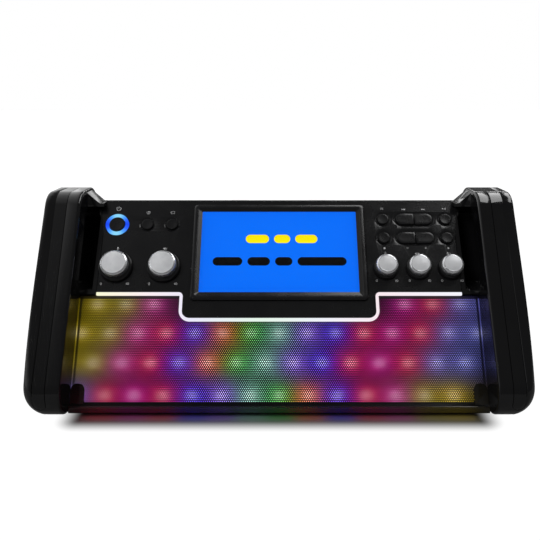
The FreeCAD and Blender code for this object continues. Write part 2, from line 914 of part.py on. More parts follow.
def tact_switches():
    """Switches under the buttons, with room for the buttons' travel."""
    top = -button_foot - button_travel - switch_gap
    half = switch_size / 2
    return Part.makeCompound(
        [box(x - half, x + half, v - half, v + half, -board_back, top) for x, v in switch_centres()])


def potentiometers():
    """Rotary controls on the boards, with a bush round each knob's shaft."""
    solids = []
    half = pot_size / 2
    body_top = -board_back + pot_height
    for x, v, skirt, cap in knob_places().values():
        body = box(x - half, x + half, v - half, v + half, -board_back, body_top)
        bush = disc(x, v, pot_bush_radius, body_top, -panel_thickness - joint_gap)
        bore = disc(x, v, shaft_radius + shaft_clearance, -board_back + board_thickness - shaft_end_gap, 0)
        solids.append(fused([body, bush]).cut(bore))
    return Part.makeCompound(solids)


# Grille, lights and loudspeakers


def speaker_grille():
    """Perforated sheet; wide holes stand for the fine mesh of the real one."""
    half = half_body - joint_gap
    notch = tongue_width / 2 - grille_notch_inset
    deep = -grille_notch_depth
    outline = [(-half, -grille_length), (half, -grille_length), (half, 0), (notch, 0),
               (notch, deep), (-notch, deep), (-notch, 0), (-half, 0)]
    corners = [Vector(x, v, -grille_thickness) for x, v in outline]
    wires = [Part.makePolygon(corners + corners[:1])]
    row_step = grille_hole_pitch * math.sqrt(3) / 2
    rows = int((grille_length - grille_edge - grille_hole_radius) / row_step)
    columns = int(2 * (half - grille_edge) / grille_hole_pitch)
    for row in range(rows):
        v = -grille_length + grille_edge + row * row_step
        shift = grille_hole_pitch / 4 * (1 if row % 2 else -1)
        for column in range(columns):
            x = (column - (columns - 1) / 2) * grille_hole_pitch + shift
            margin = 2 * grille_hole_radius
            if abs(x) < notch + margin and v > deep - margin:
                continue
            circle = Part.makeCircle(grille_hole_radius, Vector(x, v, -grille_thickness))
            wires.append(Part.Wire(circle))
    face = Part.Face(wires)
    return face.extrude(Vector(0, 0, grille_thickness))


def light_diffuser():
    """Translucent sheet between the grille and the lights."""
    half = half_body - joint_gap
    front = -grille_thickness - diffuser_behind
    sheet = box(-half, half, -grille_length + diffuser_rise, -diffuser_drop,
                front - diffuser_thickness, front)
    notch = tongue_width / 2 - grille_notch_inset
    return sheet.cut(box(-notch, notch, -grille_notch_depth, 0, 2 * front, 0))


def led_places():
    """Places of the lights: a lattice with each second row set over by half a pitch, left out behind the tongue."""
    places = []
    tongue_edge = tongue_width / 2 + strip_width + led_size
    for i, row in enumerate(led_rows):
        columns = led_columns - i % 2
        for column in range(columns):
            x = (column - (columns - 1) / 2) * led_pitch
            if i > 0 or abs(x) > tongue_edge:
                places.append((x, -row))
    return places


def leds():
    """Colour lights, proud of their strips."""
    half = led_size / 2
    low = -baffle_behind + led_strip_thickness
    return Part.makeCompound(
        [box(x - half, x + half, v - half, v + half, low, low + led_height) for x, v in led_places()])


def led_strips():
    """Narrow boards that carry the lights across the baffle."""
    end = (led_columns - 1) / 2 * led_pitch + led_size
    inner = tongue_width / 2 + strip_width + led_size / 2
    strips = []
    for i, row in enumerate(led_rows):
        spans = ((-end, -inner), (inner, end)) if i == 0 else ((-end, end),)
        for left, right in spans:
            strips.append(box(left, right, -row - led_strip_width / 2, -row + led_strip_width / 2,
                              -baffle_behind, -baffle_behind + led_strip_thickness))
    return Part.makeCompound(strips)


def speaker_centres():
    """Middles of the two loudspeakers in the grille's frame."""
    return ((-speaker_offset, -speaker_down), (speaker_offset, -speaker_down))


def speaker_baffle():
    """Board behind the lights that carries the loudspeakers."""
    half = half_body - joint_gap
    board = box(-half, half, -baffle_length, 0, -baffle_behind - baffle_thickness, -baffle_behind)
    for x, v in speaker_centres():
        board = board.cut(disc(x, v, speaker_opening_radius, -baffle_behind - 2 * baffle_thickness, 0))
    return board


def speaker_basket(x, v):
    """Pressed frame: mounting flange and a tapered wall down to the magnet."""
    front = -baffle_behind - baffle_thickness
    back = front - speaker_flange_thickness
    flange = disc(x, v, speaker_flange_radius, back, front)
    flange = flange.cut(disc(x, v, speaker_opening_radius - basket_wall, 2 * back, 0))
    foot = Vector(x, v, back - basket_depth)
    taper = Part.makeCone(magnet_radius, speaker_opening_radius, basket_depth, foot)
    hollow = Part.makeCone(
        magnet_radius - basket_wall, speaker_opening_radius - basket_wall, basket_depth, foot)
    return fused([flange, taper.cut(hollow)])


def speaker_cone(x, v):
    """Paper cone with a flat surround and a dust cap over the middle."""
    front = -baffle_behind - baffle_thickness - speaker_flange_thickness
    outer = speaker_opening_radius - basket_wall - surround_width
    depth = cone_depth
    surround = disc(x, v, speaker_opening_radius - basket_wall, front, front + cone_wall)
    surround = surround.cut(disc(x, v, outer, front - cone_wall, front + 2 * cone_wall))
    foot = Vector(x, v, front - depth)
    wall_out = Part.makeCone(dust_cap_radius, outer + cone_lap, depth, foot)
    wall_in = Part.makeCone(dust_cap_radius, outer + cone_lap, depth, foot + Vector(0, 0, cone_wall))
    cap = disc(x, v, dust_cap_radius, front - depth, front - depth + cone_wall)
    return fused([surround, wall_out.cut(wall_in), cap])


def speaker_magnet(x, v):
    """Ring magnet and pole plate behind the basket."""
    top = -baffle_behind - baffle_thickness - speaker_flange_thickness - basket_depth
    return disc(x, v, magnet_radius, top - magnet_height, top)


# Case


def base_tray():
    """Bottom of the case with the front lip, corner blocks and board posts."""
    half = half_body - joint_gap
    floor = box(-half, half, lip_front + lip_depth / 2, back_face - wall, foot_height, tray_floor_top)
    lip = box(-half, half, lip_front, lip_front + lip_depth, foot_height, foot_height + lip_height)
    lip = lip.makeFillet(lip_edge_radius, [e for e in lip.Edges if abs(e.BoundBox.YMax - lip_front) < 1e-4
                               and abs(e.BoundBox.XLength) > half])
    posts = []
    for size, place in ((main_board_size, main_board_place), (power_board_size, power_board_place)):
        for side_x in (-1, 1):
            for side_y in (-1, 1):
                x = place[0] + side_x * (size[0] / 2 - boss_inset)
                y = place[1] + side_y * (size[1] / 2 - boss_inset)
                posts.append(disc(x, y, boss_radius, foot_height, tray_floor_top + board_standoff))
    blocks = []
    for side in (-1, 1):
        near, far = sorted((side * (half - corner_block_width), side * half))
        corners = rectangle(near, far, -grille_length - 2 * corner_block_radius,
                            -grille_length + corner_block_height, corner_block_radius)
        block = on_grille(plate(corners, grille_seat_gap, corner_block_rise))
        blocks.append(block.common(box(-half, half, lip_front, overall_depth, foot_height, handle_height)))
    posts += screw_posts(tray_floor_top, tray_floor_top + 2 * screw_from_edge)
    tray = fused([floor, lip] + posts + blocks)
    seat = on_grille(box(-half - wall, half + wall, -grille_length - joint_gap, wall,
                         -grille_thickness - grille_seat_gap, grille_seat_gap))
    return tray.cut(seat)


def vent_slots():
    """Rows of upright slots in the back."""
    slots = []
    for i in range(vent_count):
        x = (i - (vent_count - 1) / 2) * vent_pitch
        corners = rectangle(x - vent_width / 2, x + vent_width / 2, vent_bottom, vent_bottom + vent_height,
                            vent_width / 2 - round_end_gap)
        face = rounded_face(corners, lambda a, b: Vector(a, back_face - 2 * wall, b))
        slots.append(face.extrude(Vector(0, 4 * wall, 0)))
    return slots


def back_screw_places():
    """Places of the screws in the back: a low row into the tray, a high row into the deck."""
    outer = half_body - screw_from_side
    columns = (-outer, -back_screw_column, back_screw_column, outer)
    rows = (tray_floor_top + screw_from_edge, deck_top - wall - screw_from_edge)
    return [(x, z) for x in columns for z in rows]


def screw_posts(low, high):
    """Posts inside the back, bored for those of its screws that lie between two heights."""
    half = screw_post_width / 2
    back = back_face - wall
    posts = []
    for x, z in back_screw_places():
        if low < z < high:
            post = box(x - half, x + half, back - screw_post_depth, back, low, high)
            posts.append(post.cut(rod_y(x, 0, overall_depth, z, screw_shank_radius)))
    return posts


def rear_cover():
    """Back of the case with its vents and the openings for sockets and screws."""
    half = half_body - joint_gap
    cover = box(-half, half, back_face - wall, back_face, foot_height, deck_top)
    cuts = vent_slots()
    for x in mic_socket_columns:
        cuts.append(rod_y(x, 0, 2 * overall_depth, socket_row_z, mic_bore_radius))
    for x in line_socket_columns:
        cuts.append(rod_y(x, 0, 2 * overall_depth, socket_row_z, line_bore_radius))
    cuts.append(inlet_room(back_face - 2 * wall, back_face + wall))
    for x, z in back_screw_places():
        cuts.append(rod_y(x, 0, 2 * overall_depth, z, screw_shank_radius + screw_clearance))
    return cover.cut(Part.makeCompound(cuts))


def case_screws():
    """Pan-head screws that hold the back."""
    solids = []
    for x, z in back_screw_places():
        head = rod_y(x, back_face, back_face + screw_head_height, z, screw_head_radius)
        shank = rod_y(x, back_face - screw_shank_length, back_face, z, screw_shank_radius)
        solids.append(fused([head, shank]))
    return Part.makeCompound(solids)


def rubber_feet():
    """Four feet under the tray."""
    x = half_body - foot_inset
    front = lip_front + foot_inset
    back = back_face - foot_inset
    return Part.makeCompound(
        [disc(side * x, y, foot_radius, 0, foot_height) for side in (-1, 1) for y in (front, back)])


def top_deck():
    """Ridge behind the panel, its rear wall, and the deck with tablet slot and disc well."""
    half = half_body - joint_gap
    ridge_half = half_body - pocket_depth - pocket_wall - joint_gap
    ridge_back = panel_top_y + ridge_depth
    ridge_front = panel_top_y + panel_thickness * math.sin(panel_angle) + joint_gap
    ridge = box(-ridge_half, ridge_half, ridge_front, ridge_back, panel_top_z - wall, panel_top_z)
    ridge_wall = box(-ridge_half, ridge_half, ridge_back - wall, ridge_back, deck_top - wall, panel_top_z)
    deck = box(-half, half, ridge_back - wall, back_face - wall, deck_top - wall, deck_top)
    slot_half = tablet_slot_width / 2
    slot_floor = deck_top - tablet_slot_depth
    trough = box(-slot_half - wall, slot_half + wall, slot_front - wall, slot_back + wall,
                 slot_floor - wall, deck_top)
    slot = box(-slot_half, slot_half, slot_front, slot_back, slot_floor, deck_top + wall)
    well = disc(0, disc_centre_y, disc_well_radius + wall, well_under, deck_top)
    ears = []
    for side in (-1, 1):
        for step in (-1, 1):
            middle = side * knuckle_offset + step * (knuckle_length / 2 + ear_gap + ear_thickness / 2)
            left, right = middle - ear_thickness / 2, middle + ear_thickness / 2
            ear = box(left, right, hinge_y - knuckle_radius, hinge_y + knuckle_radius, deck_top, hinge_z)
            tip = rod_x(left, right, hinge_y, hinge_z, knuckle_radius)
            ears.append(ear.fuse(tip))
    brackets = []
    for x, top in ((rail_inner - bracket_thickness, well_under), (rail_outer, deck_top - wall)):
        front, back = front_rod_y - bracket_margin, screw_y + bracket_margin
        brackets.append(box(x, x + bracket_thickness, front, back, drive_z - bracket_margin, top))
    posts = screw_posts(deck_top - wall - 2 * screw_from_edge, deck_top - wall)
    joined = fused([ridge, ridge_wall, deck, trough, well] + ears + brackets + posts)
    cuts = [slot, disc(0, disc_centre_y, disc_well_radius, well_floor, deck_top + wall)]
    cuts.append(disc(0, disc_centre_y, hub_hole_radius, 0, deck_top))
    lens_end = sled_start + lens_from_edge + sled_travel + lens_size / 2 + lens_gap
    cuts.append(box(0, lens_end, disc_centre_y - slot_width / 2, disc_centre_y + slot_width / 2,
                    well_under - wall / 2, well_floor + wall / 2))
    left, right = rail_inner - 2 * bracket_thickness, rail_outer + 2 * bracket_thickness
    for y, radius in rod_places() + ((screw_y, screw_radius + rail_running),):
        cuts.append(rod_x(left, right, y, drive_z, radius))
    cuts.append(rod_x(-half, half, hinge_y, hinge_z, hinge_pin_radius))
    return joined.cut(Part.makeCompound(cuts))


def rod_places():
    """Places and radii of the two rods that guide the sled."""
    return ((front_rod_y, rail_radius), (front_rod_y + rail_spacing, rail_radius))


# Disc player


def disc_lid():
    """Lid over the disc well with a finger notch and two hinge knuckles."""
    low = deck_top + lid_gap
    half = lid_width / 2
    lid = plate(rectangle(-half, half, lid_front, lid_back, lid_corner_radius), low, low + lid_thickness)
    lid = lid.makeFillet(lid_edge_radius, top_edges(lid, low + lid_thickness))
    pieces = [lid]
    for side in (-1, 1):
        left = side * knuckle_offset - knuckle_length / 2
        right = left + knuckle_length
        pieces.append(rod_x(left, right, hinge_y, hinge_z, knuckle_radius))
        pieces.append(box(left, right, lid_back - lid_arm, hinge_y,
                          low + lid_arm_step, low + lid_thickness))
    joined = fused(pieces)
    bores = rod_x(-half, half, hinge_y, hinge_z, hinge_pin_radius + hinge_running)
    notch = disc(0, lid_front - lid_notch_radius + lid_notch_reach, lid_notch_radius,
                 low + lid_notch_floor, low + 2 * lid_thickness)
    return joined.cut(bores).cut(notch)


def lid_hinge_pins():
    """Pins through the deck's ears and the lid's knuckles."""
    solids = []
    reach = knuckle_length / 2 + ear_gap + ear_thickness
    for side in (-1, 1):
        middle = side * knuckle_offset
        solids.append(rod_x(middle - reach, middle + reach, hinge_y, hinge_z, hinge_pin_radius))
    return Part.makeCompound(solids)


def turntable():
    """Disc seat with its centring spigot and shaft."""
    y = disc_centre_y
    low = well_floor + turntable_lift
    seat = disc(0, y, turntable_radius, low, low + turntable_thickness)
    spigot = disc(0, y, spigot_radius, low, low + turntable_thickness + spigot_height)
    shaft = disc(0, y, motor_shaft_radius, well_under - shaft_depth, low)
    return fused([seat, spigot, shaft])


def drive_motors():
    """Spindle motor under the well and sled motor at the lead screw's end."""
    y = disc_centre_y
    spindle = disc(0, y, motor_radius, well_under - motor_height, well_under)
    bore = motor_shaft_radius + shaft_clearance
    spindle = spindle.cut(disc(0, y, bore, well_under - shaft_depth - shaft_end_gap, deck_top))
    start = rail_outer + bracket_thickness
    sled = rod_x(start, start + motor_height, screw_y, drive_z, sled_motor_radius)
    bore_end = start + screw_in_motor + shaft_end_gap
    sled = sled.cut(rod_x(start - wall, bore_end, screw_y, drive_z, screw_radius + rail_running))
    return Part.makeCompound([spindle, sled])


def pickup_sled():
    """Sled with the lens tower, running on two rods and driven by the lead screw."""
    y = disc_centre_y
    z = drive_z
    body = box(sled_start, sled_start + sled_length, front_rod_y - sled_margin, screw_y + sled_margin,
               z - sled_height / 2, z + sled_height / 2)
    lens_x = sled_start + lens_from_edge
    half = lens_size / 2
    tower = box(lens_x - half, lens_x + half, y - half, y + half, z, z + lens_rise)
    lens = disc(lens_x, y, lens_radius, z, z + lens_rise + lens_proud)
    sled = fused([body, tower, lens])
    for rod_place, radius in rod_places() + ((screw_y, screw_radius),):
        sled = sled.cut(rod_x(0, rail_outer, rod_place, z, radius + rail_running))
    return sled


def guide_rods():
    """Rods the sled runs on, held in the brackets."""
    start = rail_inner - bracket_thickness
    end = rail_outer + bracket_thickness
    return Part.makeCompound([rod_x(start, end, y, drive_z, radius) for y, radius in rod_places()])


def lead_screw():
    """Screw that moves the sled, from its bearing into the sled motor."""
    end = rail_outer + bracket_thickness + screw_in_motor
    return rod_x(rail_inner - bracket_thickness, end, screw_y, drive_z, screw_radius)


# Boards in the base and sockets on the back


def populated_board(size, place, parts):
    """Board on its posts with its tall parts as separate solids: blocks (x, y, w, d, h)."""
    low = tray_floor_top + board_standoff
    x, y = place
    top = low + board_thickness
    half_x, half_y = size[0] / 2, size[1] / 2
    solids = [box(x - half_x, x + half_x, y - half_y, y + half_y, low, top)]
    for dx, dy, width, depth, height in parts:
        solids.append(box(x + dx - width / 2, x + dx + width / 2, y + dy - depth / 2, y + dy + depth / 2,
                          top, top + height))
    return Part.makeCompound(solids)


def main_board():
    """Sound and video board: processor, amplifier heat sink and connectors."""
    return populated_board(main_board_size, main_board_place, (processor, heat_sink, ribbon_connector))


def power_board():
    """Power supply: transformer, reservoir capacitors and filter choke."""
    return populated_board(power_board_size, power_board_place, (transformer, capacitors, filter_choke))


def rear_jacks():
    """Microphone and line sockets behind the back cover."""
    solids = []
    front = back_face - wall
    z = socket_row_z
    for columns, radius, size in ((mic_socket_columns, mic_bore_radius, mic_socket_body),
                                  (line_socket_columns, line_bore_radius, line_socket_body)):
        half = size / 2
        for x in columns:
            body = box(x - half, x + half, front - socket_length, front, z - half, z + half)
            solids.append(body.cut(rod_y(x, front - socket_length + socket_end, front + wall, z, radius)))
    return Part.makeCompound(solids)


def inlet_room(y0, y1):
    """Opening of the mains inlet between two depths."""
    half_w = inlet_width / 2 - inlet_wall
    half_h = inlet_height / 2 - inlet_wall
    return box(inlet_column - half_w, inlet_column + half_w, y0, y1,
               socket_row_z - half_h, socket_row_z + half_h)


def mains_inlet():
    """Two-pin mains inlet with its pins."""
    front = back_face - wall
    half_w = inlet_width / 2
    half_h = inlet_height / 2
    body = box(inlet_column - half_w, inlet_column + half_w, front - inlet_depth, front,
               socket_row_z - half_h, socket_row_z + half_h)
    room_end = front - inlet_depth + inlet_end
    pins = []
    for side in (-1, 1):
        x = inlet_column + side * inlet_pin_offset
        pins.append(rod_y(x, room_end - inlet_end / 2, front - inlet_pin_inset,
                          socket_row_z, inlet_pin_radius))
    return fused([body.cut(inlet_room(room_end, front + wall))] + pins)


def console():
    """Every piece of the console by name."""
    nodes = {}
    nodes["base_tray"] = base_tray()
    nodes["rear_cover"] = rear_cover()
    nodes["top_deck"] = top_deck()
    nodes["rubber_feet"] = rubber_feet()
    nodes["case_screws"] = case_screws()
    right_inner = handle_inner()
    right_outer = handle_outer()
    right_inlay = grip_inlay()
    for name, right in (("handle_outer", right_outer), ("handle_inner", right_inner),
                        ("grip_inlay", right_inlay)):
        nodes[name + "_right"] = right
        nodes[name + "_left"] = mirrored(right)
    nodes["control_panel"] = on_panel(control_panel())
    nodes["light_strip"] = on_panel(light_strip())
    nodes["screen_bezel"] = on_panel(screen_bezel())
    window_back = bezel_lip - window_thickness
    nodes["display_window"] = on_panel(display_stack(window_back, bezel_lip))
    nodes["display_module"] = on_panel(display_stack(window_back - display_thickness, window_back))
    nodes["power_button"] = on_panel(
        round_button(power_column, -left_button_row, power_button_radius, button_rise))
    nodes["power_ring"] = on_panel(power_ring())
    for name, (x, v) in round_button_places().items():
        nodes[name] = on_panel(round_button(x, v, button_radius, button_rise))
    for name, (x, v, side) in half_button_places().items():
        nodes[name] = on_panel(half_button(x, v, side))
    for name, (x, v, skirt, cap) in knob_places().items():
        nodes[name + "_knob"] = on_panel(knob_body(x, v, skirt))
        nodes[name + "_cap"] = on_panel(knob_cap(x, v, cap))
    nodes["control_boards"] = on_panel(control_boards())
    nodes["tact_switches"] = on_panel(tact_switches())
    nodes["potentiometers"] = on_panel(potentiometers())
    nodes["speaker_grille"] = on_grille(speaker_grille())
    nodes["light_diffuser"] = on_grille(light_diffuser())
    nodes["leds"] = on_grille(leds())
    nodes["led_strips"] = on_grille(led_strips())
    nodes["speaker_baffle"] = on_grille(speaker_baffle())
    for name, make in (("speaker_baskets", speaker_basket), ("speaker_cones", speaker_cone),
                       ("speaker_magnets", speaker_magnet)):
        nodes[name] = on_grille(Part.makeCompound([make(x, v) for x, v in speaker_centres()]))
    nodes["disc_lid"] = disc_lid()
    nodes["lid_hinge_pins"] = lid_hinge_pins()
    nodes["turntable"] = turntable()
    nodes["drive_motors"] = drive_motors()
    nodes["pickup_sled"] = pickup_sled()
    nodes["guide_rods"] = guide_rods()
    nodes["lead_screw"] = lead_screw()
    nodes["main_board"] = main_board()
    nodes["power_board"] = power_board()
    nodes["rear_jacks"] = rear_jacks()
    nodes["mains_inlet"] = mains_inlet()
    return nodes


os.makedirs("parts", exist_ok=True)
for node, shape in console().items():
    moved = shape.copy()
    moved.translate(Vector(0, -overall_depth / 2, 0))
    moved.exportStep("parts/" + node + ".step")
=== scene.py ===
import json
import math
import bmesh
import bpy
import numpy as np
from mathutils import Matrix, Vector


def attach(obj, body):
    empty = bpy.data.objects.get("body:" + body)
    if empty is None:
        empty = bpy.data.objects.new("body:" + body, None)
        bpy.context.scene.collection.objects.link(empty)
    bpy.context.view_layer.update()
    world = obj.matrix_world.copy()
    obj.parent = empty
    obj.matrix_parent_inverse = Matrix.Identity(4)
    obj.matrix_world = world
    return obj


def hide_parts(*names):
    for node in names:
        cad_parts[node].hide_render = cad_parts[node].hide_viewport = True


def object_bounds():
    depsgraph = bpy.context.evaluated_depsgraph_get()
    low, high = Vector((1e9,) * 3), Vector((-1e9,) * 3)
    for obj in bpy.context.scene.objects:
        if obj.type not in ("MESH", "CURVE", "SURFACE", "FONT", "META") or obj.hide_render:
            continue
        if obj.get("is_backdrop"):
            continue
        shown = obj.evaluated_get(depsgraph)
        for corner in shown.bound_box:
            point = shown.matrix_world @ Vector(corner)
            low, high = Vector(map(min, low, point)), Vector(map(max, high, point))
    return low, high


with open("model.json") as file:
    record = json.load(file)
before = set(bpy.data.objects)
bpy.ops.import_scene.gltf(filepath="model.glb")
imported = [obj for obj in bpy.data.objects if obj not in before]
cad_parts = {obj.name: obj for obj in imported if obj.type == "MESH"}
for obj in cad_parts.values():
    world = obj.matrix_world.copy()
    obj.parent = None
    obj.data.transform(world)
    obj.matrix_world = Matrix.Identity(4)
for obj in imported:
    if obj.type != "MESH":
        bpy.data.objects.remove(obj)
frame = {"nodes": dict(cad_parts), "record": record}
cad_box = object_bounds()
nodes = frame["nodes"]

# Karaoke console. Sizes are in millimetres, as on the solids, and become metres as a mesh is made.
# The studio's floor, lamps and camera are in metres.

MM = 0.001
PANEL_ORIGIN = np.array((0.0, -8.5, 176.8))
PANEL_SLOPE = math.radians(51.0)
GRILLE_ORIGIN = np.array((0.0, -69.8, 94.9))
GRILLE_SLOPE = math.radians(56.7)

# Places on the control panel: across, and up its slope from the top edge.
POWER_PLACE = (-162.4, -26.4)
ROUND_BUTTONS = {
    "function_button": (-132.0, -26.4),
    "screen_button": (-107.3, -26.4),
    "program_button": (104.1, -20.6),
    "record_button": (104.1, -41.6),
    "play_button": (167.1, -20.6),
    "stop_button": (167.1, -41.6),
}
# Halves of the oblong pairs: the pair's middle, and the half's side of it.
HALF_BUTTONS = {
    "skip_back_button": (135.8, -20.6, -1),
    "skip_forward_button": (135.8, -20.6, 1),
    "key_down_button": (135.8, -41.6, -1),
    "key_up_button": (135.8, -41.6, 1),
}
LARGE_KNOBS = {"mic_volume": (-159.0, -73.5), "master_volume": (-112.5, -73.5)}
SMALL_KNOBS = {"echo": (104.1, -74.6), "balance": (135.8, -74.6), "voice_control": (167.1, -74.6)}

# Edges steeper than these angles, in degrees, stay sharp when a mesh is shaded smooth.
DRAWN_SHARP = 40.0
RIM_SHARP = 50.0
PUNCHED_SHARP = 30.0
MOULDED_SHARP = 28.0
PANEL_SHARP = 20.0
DECK_SHARP = 12.0

# Surfaces

WELD, SLIVER = 2e-6, 1e-7  # metres
PRINT_HEIGHT = 0.06


def tilted(points, origin, slope):
    """Points (across, up the slope, outwards) turned by the slope about X, then moved to the origin."""
    across, up, out = points[..., 0], points[..., 1], points[..., 2]
    y = up * math.cos(slope) - out * math.sin(slope)
    z = up * math.sin(slope) + out * math.cos(slope)
    return np.stack((across, y, z), axis=-1) + origin


def on_panel(points):
    """Points in the control panel's own frame, put in the console's frame."""
    return tilted(points, PANEL_ORIGIN, PANEL_SLOPE)


def on_grille(points):
    """Points in the grille's own frame, put in the console's frame."""
    return tilted(points, GRILLE_ORIGIN, GRILLE_SLOPE)


def grid_faces(rows, columns, closed):
    """Corner indices of the quads between neighbouring rows and columns; closed joins the last column
    to the first."""
    last = columns if closed else columns - 1
    row, column = np.meshgrid(np.arange(rows - 1), np.arange(last), indexing="ij")
    after = (column + 1) % columns
    this, above = row * columns, (row + 1) * columns
    quads = (this + column, this + after, above + after, above + column)
    return np.stack(quads, axis=-1).reshape(-1, 4)


def as_piece(name, points, faces, material, body, stands_for=(), sharp=DRAWN_SHARP, uv=None):
    """Mesh from millimetre points and corner indices, with an optional UV for each point."""
    mesh = bpy.data.meshes.new(name)
    mesh.from_pydata((points.reshape(-1, 3) * MM).tolist(), [], faces.tolist())
    if uv is not None:
        layer = mesh.uv_layers.new(name="UVMap")
        corners = np.zeros(len(mesh.loops), np.int32)
        mesh.loops.foreach_get("vertex_index", corners)
        layer.data.foreach_set("uv", uv.reshape(-1, 2)[corners].astype(np.float32).ravel())
    return dressed(name, mesh, material, body, stands_for, sharp)


def dressed(name, mesh, material, body, stands_for, sharp):
    """Welds a mesh, shades it smooth up to the sharp angle and makes it a piece that rides a body."""
    work = bmesh.new()
    work.from_mesh(mesh)
    bmesh.ops.remove_doubles(work, verts=work.verts, dist=WELD)
    bmesh.ops.dissolve_degenerate(work, edges=work.edges, dist=SLIVER)
    work.to_mesh(mesh)
    work.free()
    mesh.shade_smooth()
    mesh.set_sharp_from_angle(angle=math.radians(sharp))
    mesh.materials.clear()
    mesh.materials.append(material)
    piece = bpy.data.objects.new(name, mesh)
    bpy.context.scene.collection.objects.link(piece)
    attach(piece, body)
    if stands_for:
        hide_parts(*stands_for)
    return piece


def smooth_copy(node, material, body="console", sharp=MOULDED_SHARP):
    """The solid's own surface, welded and shaded smooth over its rounded edges; normals follow the
    large faces."""
    piece = dressed(node + "_moulding", nodes[node].data.copy(), material, body, (node,), sharp)
    weighted = piece.modifiers.new("face_weighted_normals", "WEIGHTED_NORMAL")
    weighted.keep_sharp = True
    weighted.weight = 100
    return piece


def rounded_box(half_width, low, high, radius, steps=8):
    """Closed loop of a rectangle with quarter-circle corners: corner centres plus radius times cosine
    and sine."""
    turn = np.linspace(0, math.pi / 2, steps)
    start = np.repeat(np.arange(4) * math.pi / 2, steps)
    angle = start + np.tile(turn, 4)
    right = np.repeat((1, -1, -1, 1), steps)
    top = np.repeat((1, 1, 0, 0), steps)
    x = right * (half_width - radius) + radius * np.cos(angle)
    v = np.where(top, high - radius, low + radius) + radius * np.sin(angle)
    return np.stack((x, v), axis=-1)


def stack(loops, heights):
    """Rows of a skin: plane loops lifted to their heights."""
    lifted = [np.column_stack((loop, np.full(len(loop), height)))
              for loop, height in zip(loops, heights)]
    return np.stack(lifted)


def spun(profile, centre, segments):
    """Profile of radius and height turned about an upright axis: radius times cosine and sine round
    the centre."""
    profile = np.array(profile, float)
    angle = np.linspace(0, 2 * math.pi, segments + 1)
    radius = profile[:, :1]
    x = centre[0] + radius * np.cos(angle)
    v = centre[1] + radius * np.sin(angle)
    w = np.broadcast_to(profile[:, 1:], x.shape)
    return np.stack((x, v, w), axis=-1)


def spun_uv(profile, segments, edge):
    """Angle as a share of a turn, and the way along the profile in millimetres, counted from an edge
    on it."""
    profile = np.array(profile, float)
    along = np.concatenate(((0,), np.cumsum(np.hypot(*np.diff(profile, axis=0).T))))
    share = np.linspace(0, 1, segments + 1)
    return np.stack(np.broadcast_arrays(share[None, :], along[:, None] - edge), axis=-1)


def turned(name, profile, centre, material, body, stands_for=(), segments=96, edge=0.0):
    """Turned piece on the control panel, its profile given from the middle outwards."""
    rows = on_panel(spun(profile, centre, segments))
    faces = grid_faces(len(profile), segments + 1, False)[:, ::-1]
    uv = spun_uv(profile, segments, edge)
    return as_piece(name, rows, faces, material, body, stands_for, DRAWN_SHARP, uv)


def ribbon(path, width):
    """Flat band along a plane path: the path plus and minus half the width along its normal."""
    path = np.array(path, float)
    along = np.gradient(path, axis=0)
    along /= np.linalg.norm(along, axis=1, keepdims=True)
    across = np.stack((-along[:, 1], along[:, 0]), axis=-1) * width / 2
    return np.stack((path + across, path - across))


def arc(centre, radius, start, end, steps, stretch=1.0):
    """Points on a circle or, with a stretch along the second axis, an ellipse; angles in degrees."""
    angle = np.radians(np.linspace(start, end, steps))
    x = centre[0] + radius * np.cos(angle)
    v = centre[1] + stretch * radius * np.sin(angle)
    return np.stack((x, v), axis=-1)


def printed(name, bands, material):
    """Printed marks on the panel: flat bands, each a two-row grid, just above the surface."""
    points, faces, count = [], [], 0
    for band in bands:
        lifted = np.concatenate((band, np.full(band.shape[:2] + (1,), PRINT_HEIGHT)), axis=-1)
        points.append(lifted.reshape(-1, 3))
        faces.append(grid_faces(2, band.shape[1], False)[:, ::-1] + count)
        count += len(points[-1])
    return as_piece(name, on_panel(np.concatenate(points)), np.concatenate(faces), material, "console")


# Materials

MIRROR_LIMIT = 0.02  # the least roughness that a smear leaves
PLASTIC_IOR, GLASS_IOR = 1.5, 1.45
# Sizes of patterns in millimetres: a drift of shade or haze, and a smear from a hand.
PLASTIC_DRIFT, METAL_DRIFT, PLATING_DRIFT, GLASS_HAZE, PAPER_DRIFT = 70, 6, 9, 25, 90
HAND_SMEAR = 18
# Spun rings on the plating: their spacing in millimetres and their depth in metres.
SPUN_PITCH, SPUN_DEPTH = 0.5, 0.00003
STRIP_HALF_LENGTH = 0.175  # metres


def linear(code):
    """sRGB hex colour as linear red, green, blue and a full alpha."""
    share = np.array([int(code[i:i + 2], 16) for i in (1, 3, 5)]) / 255
    lin = np.where(share <= 0.04045, share / 12.92, ((share + 0.055) / 1.055) ** 2.4)
    return (*lin.tolist(), 1.0)


def add(tree, kind, inputs=None, stops=(), **settings):
    """Adds one shader node: settings are its properties, stops a ramp's places and hex colours in
    rising order, and inputs are values, or sockets to link from."""
    made = tree.nodes.new("ShaderNode" + kind)
    for key, value in settings.items():
        setattr(made, key, value)
    for i, (place, code) in enumerate(stops):
        element = made.color_ramp.elements[i] if i < 2 else made.color_ramp.elements.new(place)
        element.position = place
        element.color = linear(code)
    for key, value in (inputs or {}).items():
        if isinstance(value, bpy.types.NodeSocket):
            tree.links.new(value, made.inputs[key])
        else:
            made.inputs[key].default_value = value
    return made


def noise(tree, place, pattern_mm, detail):
    """Cloudy pattern from 0 to 1 with features of the given size."""
    inputs = {"Vector": place, "Scale": 1000 / pattern_mm, "Detail": detail}
    return add(tree, "TexNoise", inputs).outputs["Fac"]


def ramp(tree, share, stops):
    """Colour between stops, at a share from 0 to 1."""
    return add(tree, "ValToRGB", {"Fac": share}, stops).outputs["Color"]


